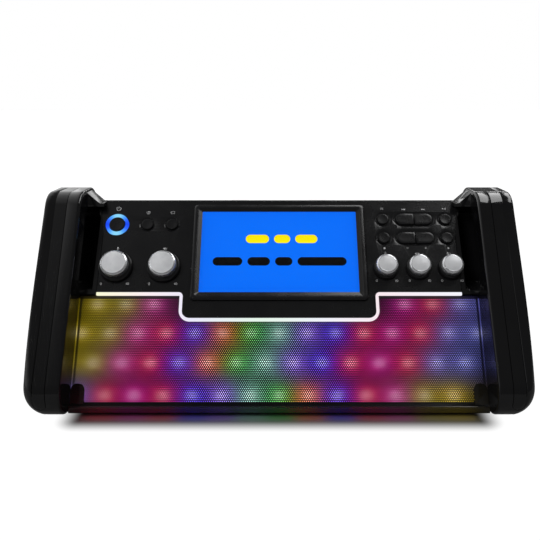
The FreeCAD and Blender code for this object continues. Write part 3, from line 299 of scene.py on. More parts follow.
def mapped(tree, value, start, end, low=0.0, high=1.0, **settings):
    """Value carried over from the range start to end to the range low to high, and held at its ends."""
    inputs = {"Value": value, "From Min": start, "From Max": end, "To Min": low, "To Max": high}
    return add(tree, "MapRange", inputs, **settings).outputs["Result"]


def maths(tree, operation, *values):
    """Result of an operation on one or two values."""
    return add(tree, "Math", dict(enumerate(values)), operation=operation).outputs["Value"]


def vectors(tree, operation, *values):
    """Result of an operation on one or two vectors, coordinate by coordinate."""
    return add(tree, "VectorMath", dict(enumerate(values)), operation=operation).outputs["Vector"]


def blank(name):
    """Material with an empty node tree, and the socket that takes its surface."""
    material = bpy.data.materials.new(name)
    material.use_nodes = True
    tree = material.node_tree
    tree.nodes.clear()
    return material, tree, add(tree, "OutputMaterial").inputs["Surface"]


def plastic(name, dark, light, rough, smear, grain_mm, grain_depth_mm):
    """Moulded plastic: colour drifts between two near shades over a hand's width, roughness carries
    faint handling smears, and the tool's grain is a fine bump. The grain is drawn coarser than the real
    one, so that it shows."""
    material, tree, surface = blank(name)
    place = add(tree, "TexCoord").outputs["Object"]
    cloud = noise(tree, place, PLASTIC_DRIFT, 3.0)
    streak = noise(tree, place, HAND_SMEAR, 5.0)
    grain = noise(tree, place, grain_mm, 2.0)
    shade = ramp(tree, cloud, [(0.35, dark), (0.65, light)])
    gloss = mapped(tree, streak, 0.3, 0.7, max(rough - smear, MIRROR_LIMIT), rough + smear)
    bump = add(tree, "Bump", {"Height": grain, "Strength": 1.0, "Distance": grain_depth_mm * MM})
    shader = add(tree, "BsdfPrincipled", {"Base Color": shade, "Roughness": gloss,
                                          "Normal": bump.outputs["Normal"], "IOR": PLASTIC_IOR})
    tree.links.new(shader.outputs["BSDF"], surface)
    return material


def metal(name, dark, light, rough, smear, brush_mm):
    """Bare or plated metal: a tone that drifts, and roughness that varies with the fine marks of
    brushing."""
    material, tree, surface = blank(name)
    place = add(tree, "TexCoord").outputs["Object"]
    cloud = noise(tree, place, METAL_DRIFT, 4.0)
    brushing = noise(tree, place, brush_mm, 2.0)
    shade = ramp(tree, cloud, [(0.3, dark), (0.7, light)])
    gloss = mapped(tree, brushing, 0.0, 1.0, max(rough - smear, MIRROR_LIMIT), rough + smear)
    shader = add(tree, "BsdfPrincipled", {"Base Color": shade, "Roughness": gloss, "Metallic": 1.0})
    tree.links.new(shader.outputs["BSDF"], surface)
    return material


def plated_silver():
    """Plated plastic cap: the face is spun and scatters light softly, the bevel past its edge is
    polished. The spun rings are drawn coarser than the real ones, so that they show."""
    material, tree, surface = blank("spun_and_polished_plating")
    coordinates = add(tree, "TexCoord").outputs
    way = add(tree, "SeparateXYZ", {"Vector": coordinates["UV"]}).outputs["Y"]
    bevel = mapped(tree, way, -0.1, 0.3)
    rings = maths(tree, "SINE", maths(tree, "MULTIPLY", way, 2 * math.pi / SPUN_PITCH))
    bump = add(tree, "Bump", {"Height": rings, "Strength": 0.1, "Distance": SPUN_DEPTH})
    gloss = mapped(tree, bevel, 0.0, 1.0, 0.4, 0.27)
    plating = mapped(tree, bevel, 0.0, 1.0, 0.45, 0.75)
    cloud = noise(tree, coordinates["Object"], PLATING_DRIFT, 3.0)
    shade = ramp(tree, cloud, [(0.3, "#d6d7da"), (0.7, "#e6e7e9")])
    shader = add(tree, "BsdfPrincipled", {"Base Color": shade, "Roughness": gloss, "Metallic": plating,
                                          "Normal": bump.outputs["Normal"]})
    tree.links.new(shader.outputs["BSDF"], surface)
    return material


def clear_glass():
    """Float glass over the display: clear, with a sharp reflection and a trace of haze."""
    material, tree, surface = blank("float_glass")
    haze = noise(tree, add(tree, "TexCoord").outputs["Object"], GLASS_HAZE, 3.0)
    gloss = mapped(tree, haze, 0.0, 1.0, 0.02, 0.06)
    shader = add(tree, "BsdfPrincipled", {"Base Color": linear("#ffffff"), "Roughness": gloss,
                                          "IOR": GLASS_IOR, "Transmission Weight": 1.0})
    tree.links.new(shader.outputs["BSDF"], surface)
    return material


def lit(name, tint, strength):
    """Lit plastic: its own light, in a colour that a small pattern gives."""
    material, tree, surface = blank(name)
    shader = add(tree, "BsdfPrincipled", {"Base Color": linear("#080808"), "Roughness": 0.45,
                                          "Specular IOR Level": 0.0, "Emission Color": tint(tree),
                                          "Emission Strength": strength})
    tree.links.new(shader.outputs["BSDF"], surface)
    return material


def strip_tint(tree):
    """White light that takes a faint tint from the colours behind it, along the strip."""
    place = add(tree, "TexCoord").outputs["Object"]
    across = add(tree, "SeparateXYZ", {"Vector": place}).outputs["X"]
    share = mapped(tree, across, -STRIP_HALF_LENGTH, STRIP_HALF_LENGTH)
    return ramp(tree, share, [(0.0, "#fffbd8"), (0.14, "#fdeef3"), (0.26, "#ebe9fb"), (0.45, "#e6f7ea"),
                              (0.62, "#f1f3fb"), (0.78, "#fbeaf0"), (1.0, "#f6f6ff")])


def ring_tint(tree):
    """Blue light that pales above and below, where the lamps behind the ring sit."""
    uv = add(tree, "TexCoord").outputs["UV"]
    share = add(tree, "SeparateXYZ", {"Vector": uv}).outputs["X"]
    height = maths(tree, "SINE", maths(tree, "MULTIPLY", share, 2 * math.pi))
    away = maths(tree, "ABSOLUTE", height)
    return ramp(tree, away, [(0.0, "#1c49f5"), (0.45, "#2f66ff"), (0.8, "#55aaff"), (1.0, "#8fdcff")])


def backlight_tint(tree):
    """Blue picture, a little darker towards its edges: the sixth power of the way from its middle."""
    uv = add(tree, "TexCoord").outputs["UV"]
    split = add(tree, "SeparateXYZ", {"Vector": uv}).outputs
    away = [mapped(tree, split[axis], 0.0, 1.0, -1.0, 1.0) for axis in ("X", "Y")]
    edge = maths(tree, "MAXIMUM", *(maths(tree, "POWER", way, 6.0) for way in away))
    return ramp(tree, edge, [(0.0, "#0070ff"), (0.6, "#006cfa"), (1.0, "#0060e6")])


def glow_tint(tree):
    """Colour of the lights as the diffuser spreads it, kept on the sheet's own points."""
    return add(tree, "Attribute", attribute_name="glow").outputs["Color"]


def bar_tint(low, high):
    """Colour of a bar on the picture, which changes a little over its height."""
    def tint(tree):
        uv = add(tree, "TexCoord").outputs["UV"]
        share = add(tree, "SeparateXYZ", {"Vector": uv}).outputs["Y"]
        return ramp(tree, share, [(0.0, low), (1.0, high)])
    return tint


# High-gloss ABS: near black, a clear mirror at a slant, with faint smears from hands.
gloss_black = plastic("gloss_black_abs", "#0b0b0c", "#0f0f10", 0.13, 0.04, 0.9, 0.002)
# Semi-gloss ABS of the fascia: the same black with a softer reflection.
panel_black = plastic("semi_gloss_black_abs", "#0e0e0f", "#121213", 0.25, 0.05, 0.6, 0.003)
# Spark-eroded ABS of the case: even fine grain that breaks up every highlight.
case_black = plastic("spark_textured_black_abs", "#121213", "#181819", 0.55, 0.08, 0.7, 0.05)
# Semi-gloss ABS of the buttons: a shade softer than the fascia round them.
button_black = plastic("semi_gloss_black_button", "#0f0f10", "#131314", 0.28, 0.05, 0.6, 0.003)
# Satin ABS of the knobs' skirts: deep black with a wide, dim highlight.
knob_black = plastic("satin_black_knob", "#0a0a0b", "#0e0e0f", 0.36, 0.06, 0.6, 0.004)
# Powder coat on the punched steel: a low sheen with a slight orange-peel.
grille_black = plastic("powder_coated_steel", "#08080a", "#0c0c0e", 0.4, 0.08, 0.8, 0.01)
# Moulded rubber of the feet: dull, with hardly a highlight.
rubber_black = plastic("moulded_rubber", "#131313", "#1a1a1a", 0.8, 0.08, 0.9, 0.03)
# Moulded bodies of switches, sockets and other components: plain dark plastic.
component_black = plastic("moulded_component_plastic", "#161616", "#1c1c1c", 0.5, 0.08, 0.7, 0.02)
# Pressed paper pulp of the speaker cones: dark and felted.
cone_paper = plastic("pressed_paper_pulp", "#1b1a19", "#242321", 0.9, 0.05, 1.2, 0.08)
# Solder mask on the boards: green lacquer with a slight shine.
mask_green = plastic("green_solder_mask", "#0c3a1c", "#124a26", 0.35, 0.08, 1.5, 0.01)
# Moulded acetal of the hub: waxy mid grey.
hub_grey = plastic("moulded_grey_acetal", "#8a8b8c", "#96979a", 0.4, 0.06, 0.8, 0.006)
# Epoxy lenses of the lights: pale and glossy.
led_clear = plastic("clear_epoxy_lens", "#d8d8d0", "#e6e6e0", 0.2, 0.05, 0.9, 0.003)
# Frosted sheet of the diffuser: white and matt.
diffuser_white = plastic("frosted_sheet", "#d6d6d6", "#e2e2e2", 0.7, 0.06, 0.8, 0.02)
# Pad-printed ink of the marks: flat light grey.
print_grey = plastic("pad_printed_ink", "#a9a9aa", "#b8b8b9", 0.6, 0.08, 0.5, 0.004)
# Zinc plating on steel: bright grey with a fine mottle.
zinc = metal("zinc_plated_steel", "#9a9ca0", "#b4b6b8", 0.32, 0.1, 0.5)
# Sintered ferrite of the magnets: dark grey and slightly rough.
ferrite = plastic("sintered_ferrite", "#1d1d1f", "#27272a", 0.6, 0.1, 0.9, 0.03)
# Plating on the knobs' caps: a soft silver face inside a brighter bevel.
silver = plated_silver()
# Glass over the picture: only its reflections show.
glass = clear_glass()
# Light pipe under the panel: an even white line.
strip_white = lit("frosted_light_pipe", strip_tint, 1.0)
# Light ring round the power button: blue, paler at top and bottom.
ring_blue = lit("frosted_light_ring", ring_tint, 1.0)
# Picture on the display: a clear blue, a little darker along its edges.
backlight = lit("backlit_picture", backlight_tint, 1.0)
# Diffuser lit from behind: pools of colour that run into each other.
glow = lit("lit_frosted_sheet", glow_tint, 1.85)
# Bars on the picture: bright yellow for what has been sung, black for what is to come.
bar_yellow = lit("picture_mark_sung", bar_tint("#fff200", "#ffe800"), 1.0)
bar_black = lit("picture_mark_to_come", bar_tint("#000000", "#040404"), 1.0)

# The finish of each material slot.
slot_finish = {
    "handle_gloss": gloss_black,
    "inlay_satin": gloss_black,
    "panel_gloss": panel_black,
    "case_matte": case_black,
    "button_black": button_black,
    "knob_black": knob_black,
    "knob_silver": silver,
    "light_white": strip_white,
    "light_blue": ring_blue,
    "grille_metal": grille_black,
    "diffuser_white": diffuser_white,
    "led_lens": led_clear,
    "board_green": mask_green,
    "component_black": component_black,
    "steel": zinc,
    "ferrite": ferrite,
    "cone_paper": cone_paper,
    "screen_lit": backlight,
    "rubber": rubber_black,
    "hub_plastic": hub_grey,
    "screen_glass": glass,
}
for part in frame["record"]["subparts"]:
    mesh = nodes[part["node"]].data
    mesh.materials.clear()
    mesh.materials.append(slot_finish[part["material_slot"]])

# Case, handles and panel: the solids' own surfaces, smooth over their roundings.

for side in ("left", "right"):
    for part in ("handle_outer_", "handle_inner_", "grip_inlay_"):
        smooth_copy(part + side, gloss_black)
smooth_copy("control_panel", panel_black, "console", PANEL_SHARP)
smooth_copy("light_strip", strip_white)
lip = smooth_copy("base_tray", gloss_black)
smooth_copy("top_deck", case_black, "console", DECK_SHARP)
smooth_copy("disc_lid", case_black, "disc_lid")
smooth_copy("rear_cover", case_black)
smooth_copy("turntable", hub_grey, "turntable")

# Display

# The frame's outer edge, and how much of each the frame's width takes up to its inner edge.
FRAME_HALF_WIDTH, FRAME_LOW, FRAME_HIGH, FRAME_ROUNDING = 85.5, -108.6, -4.9, 4.0
FRAME_SIDE, FRAME_FOOT, FRAME_HEAD, ROUNDING_LOSS = 8.4, 8.3, 7.9, 3.4
# The frame's profile: share of its width from the outer edge, and height.
FRAME_SHARES = (0.0, 0.0, 0.02, 0.07, 0.15, 0.24, 0.5, 0.54, 0.57, 0.6, 0.97, 1.0, 1.0)
FRAME_HEIGHTS = (0.0, 1.4, 2.0, 2.5, 2.85, 3.0, 3.0, 2.9, 2.6, 2.5, 1.4, 1.3, 1.2)
PICTURE_HALF_WIDTH, PICTURE_LOW, PICTURE_HIGH, PICTURE_HEIGHT = 79.4, -102.6, -10.5, 0.02
PICTURE_COLUMNS, PICTURE_ROWS = 24, 14
# Bars on the picture: half their height, how far they stand off, and each row's place and spans.
BAR_HALF, BAR_OFF, BAR_TIP = 4.6, 0.12, 0.02
SUNG_PLACE, SUNG_SPANS = -43.0, ((-33, -10), (-5, 11), (16, 38))
COMING_PLACE, COMING_SPANS = -67.5, ((-65, -36), (-31, -9), (-4, 13), (18, 66))


def screen_frame():
    """Raised frame: rounded rectangles that shrink from the outer edge to the screen while the
    height follows a rounded crown, a small step and the inner slope."""
    loops = [rounded_box(FRAME_HALF_WIDTH - FRAME_SIDE * t, FRAME_LOW + FRAME_FOOT * t,
                         FRAME_HIGH - FRAME_HEAD * t, FRAME_ROUNDING - ROUNDING_LOSS * t)
             for t in FRAME_SHARES]
    rows = on_panel(stack(loops, FRAME_HEIGHTS))
    faces = grid_faces(len(loops), len(loops[0]), True)
    return as_piece("screen_frame", rows, faces, panel_black, "console", ("screen_bezel",), RIM_SHARP)


def picture():
    """Flat sheet: a regular grid across and up the slope, with the share of its width and height
    as UV."""
    x, v = np.meshgrid(np.linspace(-PICTURE_HALF_WIDTH, PICTURE_HALF_WIDTH, PICTURE_COLUMNS),
                       np.linspace(PICTURE_LOW, PICTURE_HIGH, PICTURE_ROWS))
    points = on_panel(np.stack((x, v, np.full_like(x, PICTURE_HEIGHT)), axis=-1))
    across, up = np.linspace(0, 1, PICTURE_COLUMNS), np.linspace(0, 1, PICTURE_ROWS)
    uv = np.stack(np.meshgrid(across, up), axis=-1)
    faces = grid_faces(PICTURE_ROWS, PICTURE_COLUMNS, False)
    return as_piece("picture", points, faces, backlight, "console", ("display_module",),
                    DRAWN_SHARP, uv)


def guide_bar(name, left, right, middle, material):
    """Rounded bar on the picture: a half disc at each end, drawn as columns of the bar's own height."""
    turn = np.linspace(-math.pi / 2, math.pi / 2, 16)
    x = np.where(turn < 0, left + BAR_HALF, right - BAR_HALF) + BAR_HALF * np.sin(turn)
    tall = np.maximum(BAR_HALF * np.cos(turn), BAR_TIP)
    off = np.full_like(x, BAR_OFF)
    points = np.stack([np.stack((x, middle + way * tall, off), -1) for way in (-1, 1)])
    uv = np.stack(np.meshgrid(np.linspace(0, 1, len(x)), (0, 1)), axis=-1)
    faces = grid_faces(2, len(x), False)
    return as_piece(name, on_panel(points), faces, material, "console", (), DRAWN_SHARP, uv)


bezel = screen_frame()
picture()
for i, (left, right) in enumerate(SUNG_SPANS):
    guide_bar(f"sung_bar_{i + 1}", left, right, SUNG_PLACE, bar_yellow)
for i, (left, right) in enumerate(COMING_SPANS):
    guide_bar(f"coming_bar_{i + 1}", left, right, COMING_PLACE, bar_black)

# Buttons

BUTTON_RADIUS, POWER_RADIUS = 5.8, 7.9
BUTTON_FLANGE, BUTTON_FOOT = 1.2, -6.0
# Half of an oblong pair: its length, half its height, and half the split between the two.
HALF_LENGTH, HALF_HEIGHT, HALF_SPLIT = 18.3, 6.0, 0.4
POWER_RING = [(8.3, -3.0), (8.3, 0.3), (8.6, 0.5), (11.1, 0.5), (11.5, 0.2), (11.5, -3.0)]


def round_button(name, centre, radius):
    """Turned button: slightly dished face, rounded rim, straight side down into the panel, and
    a flange."""
    flange = radius + BUTTON_FLANGE
    profile = [(0.0, 0.55), (radius * 0.5, 0.6), (radius * 0.8, 0.78), (radius - 0.7, 0.8),
               (radius - 0.25, 0.68), (radius, 0.3), (radius, -3.2), (flange, -3.3), (flange, -4.7),
               (radius, -4.7), (radius, BUTTON_FOOT), (0.0, BUTTON_FOOT)]
    return turned(name + "_cap", profile, centre, button_black, name, (name,))


def half_oblong(centre, side, out, steps=14):
    """Loop of one half of the oblong: a straight edge at the split and a half circle at the far end."""
    x0, v0 = centre
    high = HALF_HEIGHT + out
    split = (HALF_SPLIT - out,)
    angle = np.linspace(-math.pi / 2, math.pi / 2, steps)
    x = np.concatenate((split, HALF_LENGTH - HALF_HEIGHT + high * np.cos(angle), split))
    v = np.concatenate(((-high,), high * np.sin(angle), (high,)))
    loop = np.stack((x0 + side * x, v0 + v), axis=-1)
    return loop if side > 0 else loop[::-1]


def half_button(name, x, v, side):
    """Half of an oblong rocker pair: its outline carried up, drawn in over a rounded rim, and closed at
    the middle."""
    outs = (0.0, 0.0, -0.2, -0.6, -2.5, -5.6)
    heights = (BUTTON_FOOT, 0.3, 0.65, 0.8, 0.7, 0.66, 0.65)
    loops = [half_oblong((x, v), side, out) for out in outs]
    loops.append(np.tile(loops[-1].mean(axis=0), (len(loops[0]), 1)))
    rows = on_panel(stack(loops, heights))
    faces = grid_faces(len(loops), len(loops[0]), True)
    return as_piece(name + "_cap", rows, faces, button_black, name, (name,), RIM_SHARP)


for name, centre in ROUND_BUTTONS.items():
    round_button(name, centre, BUTTON_RADIUS)
round_button("power_button", POWER_PLACE, POWER_RADIUS)
turned("power_light_ring", POWER_RING, POWER_PLACE, ring_blue, "console", ("power_ring",))
for name, (x, v, side) in HALF_BUTTONS.items():
    half_button(name, x, v, side)

# Knobs

LARGE_SKIRT, LARGE_CAP = 16.1, 13.2
SMALL_SKIRT, SMALL_CAP = 12.0, 10.4
SHAFT_RADIUS, SHAFT_END = 3.0, -11.0
BEVEL_WIDTH, FACE_TOP, FACE_FALL = 2.2, 12.35, 0.55
CAP_SEGMENTS = 128


def knob(name, centre, skirt, cap):
    """Turned knob: black skirt with a bevel and shaft, and a plated cap with a slightly domed face, its
    height falling with the square of the radius, and a polished bevel."""
    skirt_profile = [(0.0, 4.2), (cap - 0.2, 4.2), (skirt - 1.3, 4.4), (skirt - 0.5, 4.1), (skirt, 3.3),
                     (skirt, 0.6), (skirt - 0.2, 0.4), (SHAFT_RADIUS, 0.4), (SHAFT_RADIUS, SHAFT_END),
                     (0.0, SHAFT_END)]
    turned(name + "_skirt", skirt_profile, centre, knob_black, name + "_knob", (name + "_knob",))
    face = cap - BEVEL_WIDTH
    dome = [(face * t, FACE_TOP - FACE_FALL * t * t) for t in np.linspace(0, 0.97, 9)]
    bevel = [(face, 11.82), (face + 0.2, 11.95), (face + 0.6, 11.9), (cap - 0.5, 10.9),
             (cap - 0.1, 10.4), (cap, 10.0), (cap, 4.9), (cap - 0.3, 4.4), (cap - 1.2, 4.4)]
    return turned(name + "_plating", dome + bevel, centre, silver, name + "_knob", (name + "_cap",),
                  CAP_SEGMENTS, face)


silver_caps = [knob(name, centre, LARGE_SKIRT, LARGE_CAP) for name, centre in LARGE_KNOBS.items()]
silver_caps += [knob(name, centre, SMALL_SKIRT, SMALL_CAP) for name, centre in SMALL_KNOBS.items()]

# Marks printed on the panel

FINE_LINE, DIGIT_LINE, POWER_LINE = 0.3, 0.32, 0.45
# From a knob's middle down to its numbers, and the numbers' places aside as a share of that.
LARGE_REACH, SMALL_REACH, NUMBER_ASIDE = 17.6, 13.2, 0.73
# From a control's middle up to its symbol.
LARGE_MARK, SMALL_MARK, POWER_MARK = 20.0, 15.6, 17.8
# From the middle of an oblong pair across and up or down to each half's symbol.
HALF_MARK_ASIDE, HALF_MARK_OFF = 9.0, 11.2


def filled(points):
    """Filled shape between two paths of equal length, given as one list: the lower path, then the
    upper one."""
    points = np.array(points, float)
    half = len(points) // 2
    return np.stack((points[half:], points[:half]))


def triangle(x, v, size, side):
    """Arrowhead that points to one side: two edges that meet at its tip."""
    tip = x + side * size
    lower = [(x - side * size, v - 1.1 * size), (tip, v)]
    upper = [(x - side * size, v + 1.1 * size), (tip, v)]
    return filled((lower + upper) if side > 0 else (lower[::-1] + upper[::-1]))


def bar(x, v, width, height):
    """Upright or level rectangle about a point."""
    return ribbon([(x - width / 2, v), (x + width / 2, v)], height)


def ring(x, v, radius, width):
    """Circle line."""
    return ribbon(arc((x, v), radius, 0, 360, 28), width)


def zero(x, v):
    """The digit 0, a tall ellipse."""
    return ribbon(arc((x, v), 0.75, 0, 360, 24, 1.4), DIGIT_LINE)


def zero_to_ten(centre, below):
    """The numbers 0 and 10 below a knob, at the ends of its turn."""
    x, v = centre
    low = v - below
    left, right = x - below * NUMBER_ASIDE, x + below * NUMBER_ASIDE
    return [zero(left, low), bar(right - 1.2, low, DIGIT_LINE, 2.1), zero(right + 0.4, low)]


def microphone(x, v):
    """Capsule in a cradle on a short stem."""
    return [ribbon([(x, v + 0.1), (x, v + 1.7)], 1.1),
            ribbon(arc((x, v + 0.3), 1.1, 180, 360, 16), FINE_LINE), bar(x, v - 1.3, FINE_LINE, 1.0)]


def loudspeaker(x, v):
    """Small driver with a flared front and two waves."""
    cone = filled([(x - 1.0, v - 0.5), (x + 0.3, v - 1.3), (x - 1.0, v + 0.5), (x + 0.3, v + 1.3)])
    waves = [ribbon(arc((x, v), radius, -40, 40, 12), 0.28) for radius in (1.1, 1.8)]
    return [bar(x - 1.3, v, 0.7, 1.0), cone] + waves


def echo_waves(x, v):
    """Three waves that widen to the right."""
    return [ribbon(arc((x - 1.2, v), radius, -50, 50, 12), FINE_LINE) for radius in (0.8, 1.6, 2.4)]


def two_ways(x, v):
    """Arrowheads to both sides of a middle line."""
    return [triangle(x - 1.7, v, 0.9, -1), triangle(x + 1.7, v, 0.9, 1), bar(x, v, FINE_LINE, 2.0)]


def voice(x, v):
    """Microphone with one wave."""
    return microphone(x - 1.2, v) + [ribbon(arc((x - 0.6, v + 0.3), 1.7, -45, 45, 12), FINE_LINE)]


def power_symbol(x, v):
    """Circle open at the top, with an upright line in the gap."""
    return [ribbon(arc((x, v), 2.1, 125, 415, 30), POWER_LINE), bar(x, v + 1.5, POWER_LINE, 2.6)]


def ring_and_dot(x, v):
    """Circle line with a small one inside."""
    return [ring(x, v, 1.6, 0.35), ring(x, v, 0.45, FINE_LINE)]


def screen_outline(x, v):
    """Outline of a wide screen."""
    return ([bar(x, v + up, 4.0, DIGIT_LINE) for up in (1.15, -1.15)]
            + [bar(x + aside, v, DIGIT_LINE, 2.3) for aside in (-1.85, 1.85)])


def list_lines(x, v):
    """Three level lines."""
    return [bar(x, v + up, 3.2, FINE_LINE) for up in (-0.9, 0.0, 0.9)]


def disc_mark(x, v):
    """Filled circle: a circle line twice as wide as its radius."""
    return [ring(x, v, 0.55, 1.1)]


def play_pause(x, v):
    """Arrowhead and two upright lines."""
    return [triangle(x - 1.0, v, 0.85, 1)] + [bar(x + aside, v, 0.4, 1.8) for aside in (0.9, 1.7)]


def square_mark(x, v):
    """Filled square."""
    return [bar(x, v, 1.7, 1.7)]


# Each control's middle, the way from it up to its symbol, and the symbol.
SYMBOLS = (
    (LARGE_KNOBS["mic_volume"], LARGE_MARK, microphone),
    (LARGE_KNOBS["master_volume"], LARGE_MARK, loudspeaker),
    (SMALL_KNOBS["echo"], SMALL_MARK, echo_waves),
    (SMALL_KNOBS["balance"], SMALL_MARK, two_ways),
    (SMALL_KNOBS["voice_control"], SMALL_MARK, voice),
    (POWER_PLACE, POWER_MARK, power_symbol),
    (ROUND_BUTTONS["function_button"], 13.2, ring_and_dot),
    (ROUND_BUTTONS["screen_button"], 13.25, screen_outline),
    (ROUND_BUTTONS["program_button"], 12.1, list_lines),
    (ROUND_BUTTONS["record_button"], -11.4, disc_mark),
    (ROUND_BUTTONS["play_button"], 12.0, play_pause),
    (ROUND_BUTTONS["stop_button"], -11.4, square_mark),
)
marks = []
for centre in LARGE_KNOBS.values():
    marks += zero_to_ten(centre, LARGE_REACH)
for centre in SMALL_KNOBS.values():
    marks += zero_to_ten(centre, SMALL_REACH)
for (x, v), up, symbol in SYMBOLS:
    marks += symbol(x, v + up)
for name in ("skip_back_button", "skip_forward_button"):
    x, v, side = HALF_BUTTONS[name]
    x, v = x + side * HALF_MARK_ASIDE, v + HALF_MARK_OFF
    marks += [triangle(x, v, 0.8, side), triangle(x + side * 1.5, v, 0.8, side),
              bar(x + side * 2.6, v, 0.35, 1.7)]
for name, strokes in (("key_down_button", ()), ("key_up_button", (-0.6, 0.6))):
    x, v, side = HALF_BUTTONS[name]
    x, v = x + side * HALF_MARK_ASIDE, v - HALF_MARK_OFF
    marks += [bar(x, v, 2.0, 0.4)] + [bar(x, v + up, 0.4, 0.8) for up in strokes]
printed("printed_marks", marks, print_grey)

# Perforated grille. The holes are drawn narrow for their pitch, so that the sheet between them shows.

HOLE_PITCH, HOLE_RADIUS, HOLE_TAPER = 1.93, 0.52, 0.97
SHEET_HALF_WIDTH, SHEET_LENGTH, SHEET_DEPTH = 191.3, 105.0, 0.8
TONGUE_HALF_WIDTH, TONGUE_LENGTH = 86.0, 15.0
CELL_POINTS = 12
# The sheet is drawn as four pieces between these places across.
GRILLE_CUTS = (-200.0, -104.0, 0.0, 104.0, 200.0)


def perforated(name, low_x, high_x):
    """Punched sheet: a lattice of six-sided cells, each a ring of quads from its border to a round
    hole, and the hole's wall. A cell's border has 12 points, its corners and edge middles, shared with
    the neighbours."""
    half, length = SHEET_HALF_WIDTH, SHEET_LENGTH
    rise = HOLE_PITCH * math.sqrt(3) / 2
    row = np.arange(int(length / rise) + 2)
    column = np.arange(-int(half / HOLE_PITCH) - 2, int(half / HOLE_PITCH) + 3)
    grid_row, grid_column = np.meshgrid(row, column, indexing="ij")
    x = (grid_column + 0.5 * (grid_row % 2)) * HOLE_PITCH
    v = -grid_row * rise
    tongue = (np.abs(x) < TONGUE_HALF_WIDTH) & (v > -TONGUE_LENGTH)
    inside = (x > low_x) & (x <= high_x) & (np.abs(x) < half) & (v > -length) & ~tongue
    x, v = x[inside], v[inside]
    point = np.arange(CELL_POINTS)
    angle = point * math.pi / (CELL_POINTS // 2)
    border = np.where(point % 2, HOLE_PITCH / math.sqrt(3), HOLE_PITCH / 2)
    rings = []
    for radius, height in ((border, 0.0), (HOLE_RADIUS, 0.0), (HOLE_RADIUS * HOLE_TAPER, -SHEET_DEPTH)):
        px = np.clip(x[:, None] + radius * np.cos(angle), -half, half)
        pv = np.clip(v[:, None] + radius * np.sin(angle), -length, 0.0)
        rings.append(np.stack((px, pv, np.full_like(px, height)), axis=-1))
    points = on_grille(np.stack(rings, axis=1))
    cell = grid_faces(len(rings), CELL_POINTS, True)[:, ::-1]
    first = np.arange(len(x)) * len(rings) * CELL_POINTS
    faces = (cell[None] + first[:, None, None]).reshape(-1, 4)
    return as_piece(name, points, faces, grille_black, "console", ("speaker_grille",), PUNCHED_SHARP)


for i, (low_x, high_x) in enumerate(zip(GRILLE_CUTS[:-1], GRILLE_CUTS[1:])):
    perforated(f"grille_sheet_{i + 1}", low_x, high_x)

# Lights behind the grille

LED_COLOURS = {
    "amber": "#ccb012", "olive": "#a99a18", "pink": "#d838a6", "red": "#e2143c", "blue": "#2a22ee",
    "orange": "#ee6a1c", "green": "#1fb82c", "mint": "#86c2ae", "violet": "#8f5ae6",
    "magenta": "#d013a4", "pale": "#6f74d6",
}
LED_ORDER = ("amber", "olive", "pink", "red", "blue", "orange", "green", "mint", "violet", "blue",
             "red", "magenta", "red", "pale", "pale")
LED_PITCH = 27.0
# Rows of lights: place up the slope, first light across, and the way the order of colours runs.
LED_ROWS = ((-6.5, -175.5, 1), (-35.0, -189.0, 1), (-63.5, -202.5, 1), (-94.0, -216.0, -1))
# Rows above this place have no lights behind the tongue.
TONGUE_ROWS, UNLIT_HALF_WIDTH = -20.0, 100.0
GLOW_HALF_WIDTH, GLOW_LOW, GLOW_HIGH, GLOW_DEPTH = 191.0, -104.0, -1.0, -7.0
GLOW_COLUMNS, GLOW_ROWS = 300, 90
# How far a light is drawn out sideways, and the share and spread of its bells.
GLOW_STRETCH = 1.25
NARROW_BELL, WIDE_BELL, WHITE_CORE = (0.95, 6.5), (0.42, 13.0), (0.42, 3.0)
# Streaks up the slope: a sine about a middle brightness, its phase shifted by a slower sine.
STREAK_MIDDLE, STREAK_SWING, STREAK_RATE = 0.86, 0.14, 1.9
PHASE_SWING, PHASE_RATE = 1.3, 0.37


def bell(far, share, spread):
    """Bell curve over the square of a distance, with one more axis for the colour."""
    return (share * np.exp(-far / (2 * spread ** 2)))[..., None]


def glow_sheet():
    """Diffuser: the sum over the lights of each colour times a narrow and a wide bell in the distance
    from it, with a white core, drawn out sideways and broken into faint level streaks by a sine."""
    x, v = np.meshgrid(np.linspace(-GLOW_HALF_WIDTH, GLOW_HALF_WIDTH, GLOW_COLUMNS),
                       np.linspace(GLOW_LOW, GLOW_HIGH, GLOW_ROWS))
    light = np.zeros(x.shape + (3,))
    for row_v, first_x, way in LED_ROWS:
        for i, name in enumerate(LED_ORDER[::way]):
            led_x = first_x + i * LED_PITCH
            if row_v > TONGUE_ROWS and abs(led_x) < UNLIT_HALF_WIDTH:
                continue
            colour = np.array(linear(LED_COLOURS[name])[:3])
            far = ((x - led_x) / GLOW_STRETCH) ** 2 + (v - row_v) ** 2
            light += colour * (bell(far, *NARROW_BELL) + bell(far, *WIDE_BELL)) + bell(far, *WHITE_CORE)
    phase = PHASE_SWING * np.sin(v * PHASE_RATE)
    streak = STREAK_MIDDLE + STREAK_SWING * np.sin(v * STREAK_RATE + phase)
    light *= streak[..., None]
    points = on_grille(np.stack((x, v, np.full_like(x, GLOW_DEPTH)), axis=-1))
    faces = grid_faces(GLOW_ROWS, GLOW_COLUMNS, False)
    piece = as_piece("glow_sheet", points, faces, glow, "console", ("light_diffuser",))
    layer = piece.data.attributes.new("glow", "FLOAT_COLOR", "POINT")
    values = np.concatenate((light, np.ones(light.shape[:2] + (1,))), axis=-1)
    layer.data.foreach_set("color", values.astype(np.float32).ravel())
    return piece


glow_sheet()

# Studio, in metres

FLOOR_HALF = 9.0
# Half the width and depth of the rectangle round the console where the floor's white is withdrawn, a
# painted contact shadow, and the soft border round it.
PAINTED_SHADOW_HALF, PAINTED_SHADOW_FADE = (0.179, 0.1405, 0.0), 0.0245
# Brightness of the white floor and of the room as a reflection finds them.
FLOOR_SHEEN, SHEEN, SHEEN_LEFT = 0.12, 0.1, 1.3
